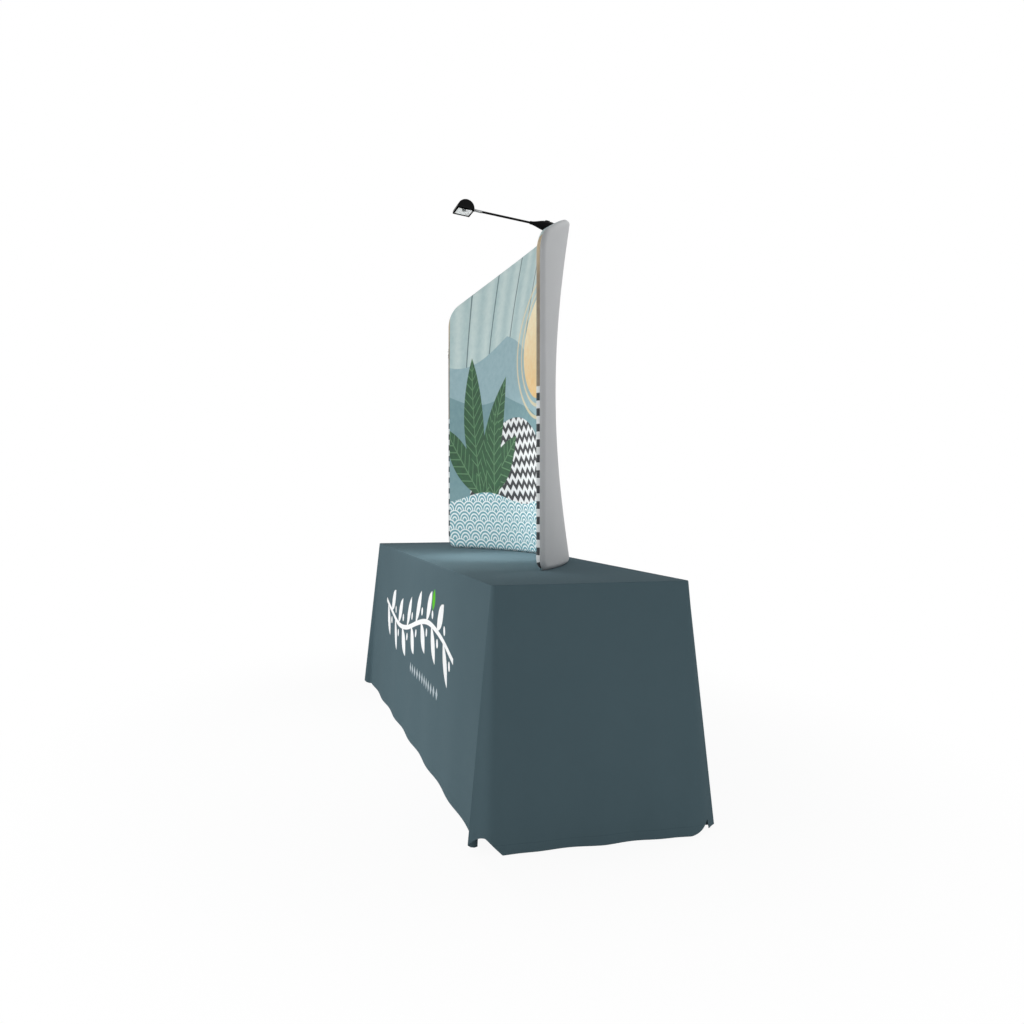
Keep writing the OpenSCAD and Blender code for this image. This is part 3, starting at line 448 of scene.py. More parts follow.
@dataclass(frozen=True)
class BareMetal:
    """A brushed, plated or drawn metal."""

    name: str
    colour: Colour
    rough: float = 0.3
    lines: Brushing = Brushing.NONE

    def material(self) -> bpy.types.Material:
        """Builds the material.

        Returns:
            The material.
        """
        sheet = ShaderSheet(self.name)
        where = sheet.place()
        lines = sheet.noise(sheet.scaled(where, self.lines.value), 1.0, 3.0, 0.6)
        stain = sheet.noise(where, 22.0, 4.0, 0.6)
        base = sheet.blend(stain * 0.6 + lines * 0.3, shifted(self.colour, 0.78), self.colour)
        return sheet.finish(Base_Color=base, Metallic=1.0,
                            Roughness=lines * 0.16 + stain * 0.12 + self.rough - 0.12,
                            Normal=sheet.bump(lines, 0.00003, 0.4))


@dataclass(frozen=True)
class MouldedRubber:
    """A matt black rubber."""

    name: str
    colour: Colour

    def material(self) -> bpy.types.Material:
        """Builds the material.

        Returns:
            The material.
        """
        sheet = ShaderSheet(self.name)
        where = sheet.place()
        scuff = sheet.noise(sheet.scaled(where, (1.0, 1.0, 3.0)), 90.0, 5.0, 0.7).above(0.55, 0.3)
        pores = sheet.noise(where, 1500.0, 2.0, 0.5)
        base = sheet.blend(scuff * 0.4, self.colour, shifted(self.colour, 2.2, 0.01))
        return sheet.finish(Base_Color=base, Roughness=scuff * 0.15 + 0.7,
                            Normal=sheet.bump(pores, 0.0001, 0.5))


@dataclass(frozen=True)
class Plywood:
    """Sanded plywood: face veneer above and below, and plies on its edges."""

    name: str
    light: Colour = linear(206, 178, 138)
    dark: Colour = linear(158, 122, 80)
    ply: float = 0.0024

    def material(self) -> bpy.types.Material:
        """Builds the material.

        Returns:
            The material.
        """
        sheet = ShaderSheet(self.name)
        where = sheet.place()
        _, y, z = sheet.parts(where)
        warp = sheet.noise(sheet.scaled(where, (0.7, 7.0, 7.0)), 2.2, 4.0, 0.6)
        rings = ((y * 95.0 + warp * 9.0).sine() * 0.5 + 0.5) ** 2.2
        pores = sheet.noise(sheet.scaled(where, (6.0, 420.0, 420.0)), 1.0, 3.0, 0.7)
        plies = z.wave(2 * self.ply).above(0.0, 0.3)
        edge = abs(sheet.facing()[2]).below(0.5, 0.2)
        figure = rings * 0.55 + pores * 0.35
        face = sheet.blend(figure, self.light, self.dark)
        side = sheet.blend(plies * 0.7 + pores * 0.2, self.light, self.dark)
        return sheet.finish(Base_Color=sheet.blend(edge, face, side), Roughness=pores * 0.2 + 0.48,
                            Normal=sheet.bump(pores * 0.6 + rings * 0.4, 0.0002, 0.4))


@dataclass(frozen=True)
class Circuit:
    """A green circuit board with copper tracks under its lacquer."""

    name: str

    def material(self) -> bpy.types.Material:
        """Builds the material.

        Returns:
            The material.
        """
        sheet = ShaderSheet(self.name)
        where = sheet.place()
        x, y, _ = sheet.parts(where)
        across = ((x * 1900.0).sine() * 0.5 + 0.5).above(0.78, 0.1)
        tracks = across.most(((y * 1300.0).sine() * 0.5 + 0.5).above(0.9, 0.06))
        mottled = sheet.noise(where, 300.0, 2.0, 0.5)
        base = sheet.blend(tracks * 0.6 + mottled * 0.1, linear(18, 84, 46), linear(58, 140, 84))
        return sheet.finish(Base_Color=base, Roughness=mottled * 0.1 + 0.3,
                            Normal=sheet.bump(tracks, 0.00005, 0.5))


@dataclass(frozen=True)
class ClearGlass:
    """A pressed lamp glass with faint ribs."""

    name: str
    tint: Colour = linear(236, 243, 244)

    def material(self) -> bpy.types.Material:
        """Builds the material.

        Returns:
            The material.
        """
        sheet = ShaderSheet(self.name)
        where = sheet.place()
        ribs = (sheet.parts(where)[0] * 1100.0).sine() * 0.5 + 0.5
        smear = sheet.noise(where, 40.0, 4.0, 0.6)
        return sheet.finish(Base_Color=self.tint, Roughness=smear * 0.08 + 0.04, Alpha=smear * 0.06 + 0.05,
                            IOR=1.45, Normal=sheet.bump(ribs, 0.0002, 0.35))


@dataclass(frozen=True)
class WhiteReflector:
    """A white enamelled reflector, with a painted glow that stands in for its LED's light."""

    name: str

    def material(self) -> bpy.types.Material:
        """Builds the material.

        Returns:
            The material.
        """
        sheet = ShaderSheet(self.name)
        where = sheet.place()
        tone = sheet.noise(where, 30.0, 3.0, 0.5)
        base = sheet.blend(tone, linear(228, 230, 231), linear(246, 247, 247))
        # The emission is a painted glow, as if the reflector were lit by its LED.
        return sheet.finish(Base_Color=base, Roughness=tone * 0.12 + 0.22, Coat_Weight=0.3,
                            Emission_Color=base, Emission_Strength=0.3,
                            Normal=sheet.bump(sheet.noise(where, 900.0), 0.00004, 0.3))


@dataclass(frozen=True)
class ThrowCloth:
    """The throw's woven polyester, with a generic white sprig printed on its front."""

    name: str
    colour: Colour = linear(88, 108, 115)
    deep: Colour = linear(76, 96, 103)
    white: Colour = linear(252, 253, 253)
    grey: Colour = linear(186, 197, 202)
    green: Colour = linear(96, 190, 52)
    thread: float = 0.0009
    print_mid: Place = (-0.03, -0.575)
    print_half: float = 0.78

    def sprig(self, u: Signal, v: Signal) -> tuple[Signal, Signal, Signal]:
        """Draws the running sprig: a waved stem with berries and leaves, a row of lozenges and a green leaf.

        Args:
            u: Metres across the cloth.
            v: Metres up the cloth.

        Returns:
            The masks of the white, grey and green parts.
        """
        du, dv = u - self.print_mid[0], v - self.print_mid[1]
        sway = dv - (du * 4.6).sine() * 0.048
        white = abs(sway).below(0.010, 0.003) * abs(du).below(self.print_half, 0.004)
        for side, shift in ((1.0, 0.0), (-1.0, 0.11)):
            inside = abs(du).below(0.66 + shift, 0.002)
            cell = (du + shift).wrapped(0.22) - 0.04
            rise = sway * side
            white = white.most(leaf(cell, rise, (0.0, 0.004), 50.0, 0.155, 0.033)[0] * inside)
            berry = radius(cell - 0.125, rise - 0.040).below(0.016, 0.003)
            white = white.most(berry * inside)
        off = du - 0.25
        dots = (abs(off.wrapped(0.05) - 0.025) + abs(dv + 0.178) * 0.7).below(0.0155, 0.002)
        green = leaf(du, dv, (0.386, 0.102), 74.0, 0.085, 0.026)[0]
        return white, dots * abs(off).below(0.30, 0.004), green

    def material(self) -> bpy.types.Material:
        """Builds the material.

        Returns:
            The material.
        """
        sheet = ShaderSheet(self.name)
        where = sheet.place()
        cut = sheet.cloth_place()
        u, v, _ = sheet.parts(cut)
        weave = woven_height(u, v, self.thread)
        slub = sheet.noise(sheet.scaled(cut, (60.0, 900.0, 1.0)), 1.0, 2.0, 0.6)
        mottle = sheet.noise(where, 3.0, 4.0, 0.6)
        speck = sheet.noise(where, 1100.0, 2.0, 0.6)
        tone = mottle * 0.45 + speck * 0.3 + slub * 0.2
        plain = sheet.blend(tone, self.deep, self.colour)
        hem_line = abs(sheet.parts(where)[2] - 0.030).below(0.0009, 0.0006)
        stitch = u.wave(0.0032).above(-0.2, 0.4) * hem_line
        plain = sheet.blend(stitch * 0.3, plain, linear(58, 76, 84))
        front = sheet.facing()[1].below(-0.5, 0.2)
        inked = plain
        for mask, ink in zip(self.sprig(u, v), (self.white, self.grey, self.green)):
            inked = sheet.blend(mask * front, inked, ink)
        folds = sheet.noise(sheet.scaled(where, (3.0, 3.0, 0.7)), 3.0, 3.0, 0.5)
        soft = sheet.bump(folds, 0.004, 0.35)
        return sheet.finish(Base_Color=inked, Roughness=speck * 0.12 + 0.84, Sheen_Weight=0.015,
                            Sheen_Roughness=0.6, Specular_IOR_Level=0.04,
                            Normal=sheet.bump(weave * 0.7 + speck * 0.3 - stitch * 0.5, 0.00025, 0.55, soft))


@dataclass(frozen=True)
class BackKnit:
    """The panel's plain back: a light grey stretch knit."""

    name: str
    sheen: float = 0.08

    def ink(self, sheet: ShaderSheet, speck: Signal) -> Signal:
        """Returns the knit's colour, given its material's sheet and the yarn's fine speckle."""
        mottle = sheet.noise(sheet.place(), 5.0, 3.0, 0.5)
        return sheet.blend(mottle * 0.6 + speck * 0.35, linear(192, 194, 195), linear(206, 207, 208))

    def material(self) -> bpy.types.Material:
        """Builds the material.

        Returns:
            The material.
        """
        sheet = ShaderSheet(self.name)
        cut = sheet.cloth_place()
        u, v, _ = sheet.parts(cut)
        knit = woven_height(u, v * 0.6, 0.0008)
        speck = sheet.noise(cut, 1300.0, 2.0, 0.6)
        return sheet.finish(Base_Color=self.ink(sheet, speck), Roughness=speck * 0.1 + 0.66,
                            Sheen_Weight=self.sheen, Sheen_Roughness=0.4, Specular_IOR_Level=0.25,
                            Normal=sheet.bump(knit, 0.0002, 0.5))


@dataclass(frozen=True)
class PrintedKnit(BackKnit):
    """The panel's front: the same knit, printed with a generic design."""

    sheen: float = 0.06

    def ink(self, sheet: ShaderSheet, speck: Signal) -> Signal:
        """Returns the printed knit's colour, given its material's sheet and the yarn's fine speckle."""
        return sheet.blend(speck * 0.06, PrintDesign(sheet).whole(), linear(232, 234, 234))


@dataclass
class PrintDesign:
    """A generic design of hills, a sun, two leafy plants, two mounds and a foot of scales.

    It is drawn in metres: u runs along the panel from its middle and v up it from its foot.
    """

    sheet: ShaderSheet
    hills: tuple = ((0.93, 0.075, 5.2, linear(134, 168, 176), linear(168, 196, 202)),
                    (0.76, 0.09, 4.1, linear(98, 138, 146), linear(134, 168, 172)))
    leaves: tuple = (((-0.56, 0.24), 96.0, 0.66, 0.085), ((-0.56, 0.24), 64.0, 0.60, 0.078),
                     ((-0.56, 0.24), 130.0, 0.44, 0.07), ((-0.56, 0.24), 36.0, 0.46, 0.07),
                     ((-0.46, 0.20), 82.0, 0.44, 0.07), ((0.42, 0.22), 74.0, 0.52, 0.075),
                     ((0.42, 0.22), 108.0, 0.6, 0.08), ((0.42, 0.22), 142.0, 0.4, 0.06))
    u: Signal = field(init=False)
    v: Signal = field(init=False)
    grain: Signal = field(init=False)

    def __post_init__(self) -> None:
        """Reads the place on the cloth and the ink's uneven tone."""
        cut = self.sheet.cloth_place()
        self.u, self.v, _ = self.sheet.parts(cut)
        self.grain = self.sheet.noise(cut, 34.0, 5.0, 0.6)

    def backdrop(self) -> Signal:
        """Draws the sky with its reeds, the two hills and the sun.

        Returns:
            Their colour.
        """
        u, v, blend = self.u, self.v, self.sheet.blend
        streak = u.wave(0.11) * 0.5 + 0.5
        picture = blend(streak * 0.35 + self.grain * 0.6, linear(160, 190, 192), linear(220, 234, 230))
        reed = (u + (v * 3.1).sine() * 0.012).wrapped(0.19) - 0.095
        picture = blend(abs(reed).below(0.0045, 0.003) * 0.8, picture, linear(70, 98, 104))
        fall = (u + 0.32).most(0.0) * 0.62
        for base, rise, swing, low, high in self.hills:
            ridge = (u * swing + base * 9).sine() * rise + base - fall
            picture = blend((ridge - v).above(0.0, 0.004), picture, blend(self.grain, low, high))
        sun = radius(u - 0.13, v - 0.88)
        rays = sun.wave(0.05).above(0.6, 0.3) * sun.below(0.33, 0.01)
        picture = blend(rays * 0.6, picture, linear(250, 226, 172))
        warm = blend(self.grain * 0.6 + (v - 0.7) * 1.6, linear(238, 186, 104), linear(255, 248, 214))
        return blend(sun.below(0.235, 0.004), picture, warm)

    def mounds(self, picture: Signal) -> Signal:
        """Draws the chevron mound and the ringed mound.

        Args:
            picture: The colour under them.

        Returns:
            The colour with both mounds.
        """
        u, v, blend = self.u, self.v, self.sheet.blend
        zig = abs(u.wrapped(0.06) - 0.03)
        chevron = (v + zig * 0.9).wrapped(0.05).above(0.025, 0.003)
        black_white = blend(chevron, linear(38, 40, 44), linear(232, 234, 234))
        picture = blend(radius(u + 0.2, v - 0.12).below(0.47, 0.004), picture, black_white)
        right = radius(u - 0.48, v - 0.35)
        cream = blend(self.grain * 0.8, linear(206, 150, 96), linear(240, 208, 160))
        ringed = blend(right.wave(0.07).above(0.2, 0.1) * 0.5, cream, linear(150, 104, 66))
        return blend(right.below(0.36, 0.004), picture, ringed)

    def plants(self, picture: Signal) -> Signal:
        """Draws the veined leaves.

        Args:
            picture: The colour under them.

        Returns:
            The colour with the leaves.
        """
        green = self.sheet.blend(self.grain * 1.1, linear(12, 40, 26), linear(46, 104, 62))
        for foot, turn, length, width in self.leaves:
            shape, along, across = leaf(self.u, self.v, foot, turn, length, width)
            veins = across.below(0.0035, 0.003).most((along - across * 0.9).wave(0.045).above(0.86, 0.16))
            veined = self.sheet.blend(veins * 0.5, green, linear(116, 164, 116))
            picture = self.sheet.blend(shape, picture, veined)
        return picture

    def scales(self) -> Signal:
        """Draws the foot's rows of ringed scales.

        Returns:
            Their colour.
        """
        step = self.v / 0.045
        row = step - step.wrapped(1.0)
        across = (self.u + row.wrapped(2.0) * 0.035).wrapped(0.07) - 0.035
        arcs = radius(across, self.v.wrapped(0.045)).wrapped(0.016).above(0.0085, 0.002)
        return self.sheet.blend(arcs, linear(104, 166, 178), linear(240, 247, 247))

    def pole_band(self) -> Signal:
        """Draws the band round the poles: dashes below and tan above.

        Returns:
            Its colour.
        """
        blend = self.sheet.blend
        dash = self.v.wrapped(0.052).above(0.026, 0.003)
        band = blend(dash, linear(34, 38, 42), linear(224, 228, 228))
        tan = blend(self.v.above(1.02, 0.2), linear(112, 96, 78), linear(196, 176, 142))
        return blend(self.v.above(0.62, 0.004), band, blend(self.grain * 0.4, tan, linear(214, 200, 176)))

    def whole(self) -> Signal:
        """Draws the whole design.

        Returns:
            Its colour.
        """
        picture = self.plants(self.mounds(self.backdrop()))
        swell = (self.u * 9.0).sine() * 0.025 + 0.24
        picture = self.sheet.blend((swell - self.v).above(0.0, 0.003), picture, self.scales())
        return self.sheet.blend(abs(self.u).above(0.803, 0.002), picture, self.pole_band())


class Workshop:
    """The bpy.ops steps that the pieces share."""

    @staticmethod
    def clear() -> None:
        """Leaves edit mode and deselects everything."""
        if bpy.context.object is not None and bpy.context.object.mode != "OBJECT":
            bpy.ops.object.mode_set(mode="OBJECT")
        bpy.ops.object.select_all(action="DESELECT")

    @staticmethod
    def only(piece: bpy.types.Object) -> None:
        """Selects one piece alone and makes it active.

        Args:
            piece: The piece.
        """
        Workshop.clear()
        piece.select_set(True)
        bpy.context.view_layer.objects.active = piece

    @staticmethod
    def apply(piece: bpy.types.Object, kind: str, **settings: object) -> None:
        """Adds one modifier and applies it.

        Args:
            piece: The piece.
            kind: The modifier's type.
            **settings: Its settings.
        """
        Workshop.only(piece)
        made = piece.modifiers.new(kind.title(), kind)
        for key, value in settings.items():
            setattr(made, key, value)
        bpy.ops.object.modifier_apply(modifier=made.name)

    @staticmethod
    def shade(piece: bpy.types.Object, angle: float = SHARP_EDGE) -> bpy.types.Object:
        """Shades a piece smooth.

        Args:
            piece: The piece.
            angle: Edges sharper than this, in degrees, stay hard.

        Returns:
            The same piece.
        """
        Workshop.only(piece)
        bpy.ops.object.shade_smooth_by_angle(angle=math.radians(angle))
        return piece

    @staticmethod
    def carved(node: bpy.types.Object, name: str, width: float, flat: float) -> bpy.types.Object:
        """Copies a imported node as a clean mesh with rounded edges.

        Args:
            node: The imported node.
            name: The new piece's name.
            width: The rounds' width in metres, or 0 for none.
            flat: Faces that meet at less than this angle, in degrees, are joined first.

        Returns:
            The new piece.
        """
        piece = placed(name, node.data.copy())
        piece.data.materials.clear()
        Workshop.only(piece)
        bpy.ops.object.mode_set(mode="EDIT")
        bpy.ops.mesh.select_all(action="SELECT")
        bpy.ops.mesh.remove_doubles(threshold=0.00001)
        bpy.ops.mesh.dissolve_limited(angle_limit=math.radians(flat))
        bpy.ops.object.mode_set(mode="OBJECT")
        if width > 0:
            Workshop.apply(piece, "BEVEL", width=width, segments=2, limit_method="ANGLE",
                           angle_limit=math.radians(SHARP_EDGE), use_clamp_overlap=True, harden_normals=False)
        return Workshop.shade(piece)

    @staticmethod
    def dress(piece: bpy.types.Object, material: bpy.types.Material, body: str, slot: str) -> None:
        """Gives a piece its material and its body.

        Args:
            piece: The piece.
            material: Its material.
            body: The body that it rides on.
            slot: The record's slot that its finish stands for. Not used.
        """
        piece.data.materials.clear()
        piece.data.materials.append(material)
        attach(piece, body)
        LOG.info("%s rides on %s", piece.name, body)


def finish_slots(frame: dict) -> dict[str, str]:
    """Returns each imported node's material slot."""
    return {part["node"]: part["material_slot"] for part in frame["record"]["subparts"]}


class FinishRack:
    """All the finishes, made once and kept by the record's slot."""

    def __init__(self) -> None:
        """Builds every material."""
        black = linear(7, 7, 8)
        finishes = {
            "board_wood": Plywood("sanded_plywood"),
            "steel_grey": CoatedMetal("grey_powder_coat", linear(104, 106, 108)),
            "zinc": BareMetal("zinc_plate", linear(196, 197, 196), 0.36),
            "black_rubber": MouldedRubber("black_rubber", linear(28, 28, 28)),
            "throw_cloth": ThrowCloth("slate_polyester"),
            "tube_alloy": BareMetal("drawn_aluminium", linear(205, 207, 209), 0.34),
            "graphic_fabric": PrintedKnit("printed_stretch_knit"),
            "back_cloth": BackKnit("plain_stretch_knit"),
            "zip_nylon": MouldedPlastic("zip_nylon", linear(176, 178, 179), 0.5, 1800.0),
            "black_plastic": MouldedPlastic("black_moulded_plastic", black, 0.48, gloss=0.06),
            "board_green": Circuit("lacquered_circuit_board"),
            "black_metal": CoatedMetal("black_enamel", linear(6, 6, 7), 0.38, 420.0, 0.1, 0.0),
            "satin_metal": BareMetal("satin_nickel", linear(158, 159, 160), 0.34, Brushing.ALONG_X),
            "reflector_white": WhiteReflector("white_enamel_painted_glow"),
            "lens_glass": ClearGlass("ribbed_lamp_glass"),
        }
        self.slots: dict[str, bpy.types.Material] = {slot: made.material() for slot, made in finishes.items()}
        self.lamp_cup = MouldedPlastic("lamp_cup", linear(34, 34, 35), 0.5, gloss=0.1).material()
        self.lamp_face = MouldedPlastic("lamp_face", linear(96, 97, 96), 0.5, gloss=0.1).material()
        self.lamp_trim = MouldedPlastic("lamp_trim", linear(4, 4, 5), 0.6, gloss=0.0).material()
        self.chip_resin = MouldedPlastic("chip_resin", linear(26, 26, 28), 0.45).material()

    def __getitem__(self, slot: str) -> bpy.types.Material:
        """Returns the material of one slot."""
        return self.slots[slot]

    def dress_nodes(self, frame: dict) -> None:
        """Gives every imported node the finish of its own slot.

        Args:
            frame: The loaded frame.
        """
        slots = finish_slots(frame)
        for name, node in frame["nodes"].items():
            node.data.materials.clear()
            node.data.materials.append(self.slots[slots[name]])
            Workshop.shade(node, 30.0)


@dataclass
class TableThrow:
    """The cloth over the table: a flat top, straight falls and one broad fold at each corner.

    Sizes are in metres. The flares are how far the hem stands out from the board. The lobe values
    shape the hem of the front corners' folds, and the back values that of the rear ones: how far a
    fold stands out, where its arch begins and peaks as a share of it, and how high it lifts.
    """

    board_l: float = 2.432
    board_w: float = 0.604
    top: float = 0.7398
    over: float = 0.0028
    corner_r: float = 0.0128
    edge_round: float = 0.0033
    flare_long: float = 0.040
    flare_short: float = 0.084
    lobe_long: float = 0.078
    lobe_step: float = 0.024
    lobe_short: float = 0.088
    lobe_tuck: float = 0.008
    lobe_arch: float = 0.043
    lobe_lift: float = 0.014
    arch_peak: float = 0.54
    lobe_grow: float = 0.024
    back_long: float = 0.071
    back_tuck: float = 0.034
    back_arch: float = 0.036
    back_lift: float = 0.006
    back_start: float = 0.35
    back_peak: float = 0.41
    lobe_bulge: float = 0.015
    hem_gap: float = 0.003
    hem_wave: float = 0.003
    side_wave: float = 0.004
    hem_turn: float = 900.0
    side_turn: float = 540.0
    hang: float = 0.736
    cloth: float = 0.0012
    long_steps: int = 64
    corner_steps: int = 40
    side_steps: int = 26
    falls: int = 34
    insets: int = 14

    @property
    def half_l(self) -> float:
        """Half the cloth's length over the board."""
        return self.board_l / 2 + self.over

    @property
    def half_w(self) -> float:
        """Half the cloth's width over the board."""
        return self.board_w / 2 + self.over

    def _share(self, column: int) -> float:
        """Returns a column's share of the way from the middle to the corner, where they stand closer."""
        return 1 - (1 - column / self.long_steps) ** 1.6

    def _edge(self, inset: float) -> list[tuple[float, float]]:
        """Walks a quarter of the top's outline, from the front's middle to the side's.

        Args:
            inset: How far the walk is set in.

        Returns:
            The points in plan.
        """
        r = self.corner_r
        mid_x, mid_y, out = self.half_l - r, r - self.half_w, r - inset
        turns = [math.radians(90 * i / self.corner_steps) for i in range(self.corner_steps + 1)]
        front = [(self._share(i) * mid_x, inset - self.half_w) for i in range(self.long_steps)]
        side = [(self.half_l - inset, mid_y * (1 - i / self.side_steps))
                for i in range(1, self.side_steps + 1)]
        return front + [(mid_x + out * math.sin(a), mid_y - out * math.cos(a)) for a in turns] + side

    def _arch(self, t: float, back: bool) -> float:
        """Works out how far the hem lifts along a corner's fold.

        Args:
            t: The share of the way from the fold's outer ridge to the side.
            back: Whether the corner is a rear one.

        Returns:
            The lift.
        """
        if back:
            if t < self.back_peak:
                return self.back_lift + (self.back_arch - self.back_lift) * smooth(
                    (t - self.back_start) / (self.back_peak - self.back_start))
            return self.back_arch * (1 - (t - self.back_peak) / (1 - self.back_peak)) ** 1.4
        if t < self.arch_peak:
            return self.lobe_lift + (self.lobe_arch - self.lobe_lift) * (1 - (1 - t / self.arch_peak) ** 2)
        return self.lobe_arch * (1 - ((t - self.arch_peak) / (1 - self.arch_peak)) ** 1.3)

    def _hem(self, back: bool) -> list[tuple[float, float, float, float]]:
        """Walks a quarter of the hem, with a point for each of the outline's.

        Args:
            back: Whether the quarter is a rear one.

        Returns:
            The points, each with how far short of it the cloth ends.
        """
        deep, tuck = (self.back_long, self.back_tuck) if back else (self.lobe_long, self.lobe_tuck)
        lift = self.back_lift if back else self.lobe_lift
        ridge_x = self.half_l + self.lobe_step
        ridge_y = -(self.half_w + deep)
        last_x = self.half_l + self.lobe_short
        last_y = -(self.half_w - tuck)
        wave_end = self.hem_wave * math.cos(math.radians(ridge_x * self.hem_turn))

        def along_front(x: float) -> tuple[float, float, float, float]:
            """Places a point of the long hem.

            Args:
                x: How far along the table it is.

            Returns:
                The point and how far short of it the cloth ends.
            """
            wave = math.cos(math.radians(x * self.hem_turn))
            near = smooth((x - ridge_x + self.lobe_grow) / self.lobe_grow)
            grow = (deep - self.flare_long - wave_end) * near
            return (x, -(self.half_w + self.flare_long + self.hem_wave * wave + grow), self.hem_gap,
                    self.hem_wave / 4 * (1 - wave) * (1 - near) + lift * near ** 3)

        hem = [along_front(self._share(i) * ridge_x) for i in range(self.long_steps)]
        run = Vector((last_x - ridge_x, last_y - ridge_y))
        out = Vector((run.y, -run.x)).normalized()
        for i in range(self.corner_steps + 1):
            t = i / self.corner_steps
            swell = self.lobe_bulge * math.sin(math.pi * t ** 1.5)
            hem.append((mix(ridge_x, last_x, t) + swell * out.x, mix(ridge_y, last_y, t) + swell * out.y,
                        self.hem_gap, self._arch(t, back)))
        for i in range(1, self.side_steps + 1):
            t = i / self.side_steps
            wave = self.side_wave * math.cos(math.radians(self.side_turn * t))
            flare = mix(self.lobe_short, self.flare_short - wave, smooth(t * 3))
            hem.append((self.half_l + flare, last_y * (1 - t), self.hem_gap,
                        self.hem_wave / 2 * math.sin(math.radians(180 * t))))
        return hem

    @staticmethod
    def _loop(front: Sequence[Sequence[float]], back: Optional[Sequence[Sequence[float]]] = None
              ) -> list[tuple[float, ...]]:
        """Mirrors a quarter into the whole loop.

        Args:
            front: The front quarter's points.
            back: The rear quarter's, where they differ.

        Returns:
            The loop's points.
        """
        rear = back or front
        n = len(front)

        def turned(p: Sequence[float], sx: int, sy: int) -> tuple[float, ...]:
            """Returns one mirrored point."""
            return (sx * p[0], sy * p[1], *p[2:])

        return ([tuple(p) for p in front] + [turned(rear[i], 1, -1) for i in range(n - 2, -1, -1)]
                + [turned(rear[i], -1, -1) for i in range(1, n)]
                + [turned(front[i], -1, 1) for i in range(n - 2, 0, -1)])

    def build(self) -> bpy.types.Object:
        """Builds the cloth as one sheet with a thin wall.

        Returns:
            The throw, at the origin.
        """
        edge = self._loop(self._edge(0.0))
        hem = self._loop(self._hem(False), self._hem(True))
        n = len(edge)
        rows: list[list[Point]] = []
        cuts: list[list[tuple[float, float]]] = []
        spine = self.half_l - self.half_w
        turns = [math.radians(22.5 * i) for i in range(5)]
        shoulder = [(self.edge_round * (1 - math.sin(a)), self.edge_round * (1 - math.cos(a))) for a in turns]
        rim = self._loop(self._edge(self.edge_round))
        for k in range(self.insets):
            t = (1 - k / self.insets) ** 1.5
            rows.append([(mix(x, min(max(x, -spine), spine), t), y * (1 - t), self.top) for x, y in rim])
            cuts.append([(p[0], p[1]) for p in rows[-1]])
        for inset, drop in shoulder:
            ring = self._loop(self._edge(inset))
            rows.append([(x, y, self.top - drop) for x, y in ring])
            cuts.append([(x, y) for x, y in ring])
        start = self.top - self.edge_round
        for k in range(1, self.falls + 1):
            row, cut = [], []
            for i in range(n):
                (x, y), (hx, hy, hz, short) = edge[i], hem[i]
                t = k / self.falls * (1 - short / (start - hz))
                row.append((mix(x, hx, t), mix(y, hy, t), mix(start, hz, t)))
                before, after = edge[i - 1], edge[(i + 1) % n]
                out = Vector((after[1] - before[1], before[0] - after[0])).normalized()
                drop = t * math.dist((x, y, start), (hx, hy, hz))
                cut.append((x + out.x * drop, y + out.y * drop))
            rows.append(row)
            cuts.append(cut)
        points = [p for row in rows for p in row]
        places = [c for row in cuts for c in row]
        faces = [(k * n + i, (k + 1) * n + i, (k + 1) * n + (i + 1) % n, k * n + (i + 1) % n)
                 for k in range(len(rows) - 1) for i in range(n)]
        piece = new_cloth("throw_cloth", points, faces, places)
        Workshop.only(piece)
        bpy.ops.object.mode_set(mode="EDIT")
        bpy.ops.mesh.select_all(action="SELECT")
        bpy.ops.mesh.remove_doubles(threshold=0.00002)
        bpy.ops.mesh.delete_loose()
        bpy.ops.object.mode_set(mode="OBJECT")
        Workshop.apply(piece, "SOLIDIFY", thickness=self.cloth, offset=-1.0, use_rim=True)
        return Workshop.shade(piece, 50.0)

    def dress(self, rack: FinishRack) -> None:
        """Builds the cloth and dresses it.

        Args:
            rack: The finishes.
        """
        piece = self.build()
        Workshop.dress(piece, rack["throw_cloth"], "stand", "throw_cloth")
        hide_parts("table_throw")


def new_cloth(name: str, points: Sequence[Sequence[float]], faces: Sequence[Sequence[int]],
              places: Sequence[tuple[float, float]]) -> bpy.types.Object:
    """Makes a cloth mesh whose "cut" map gives each point's place on the flat cloth, in metres.

    Args:
        name: The piece's name.
        points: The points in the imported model's frame.
        faces: The faces, by point.
        places: The points' places on the flat cloth.

    Returns:
        The piece, at the origin.
    """
    mesh = bpy.data.meshes.new(name)
    mesh.from_pydata([tuple(p) for p in points], [], [tuple(f) for f in faces])
    cut = mesh.uv_layers.new(name="cut")
    for loop in mesh.loops:
        cut.data[loop.index].uv = places[loop.vertex_index]
    return placed(name, mesh)


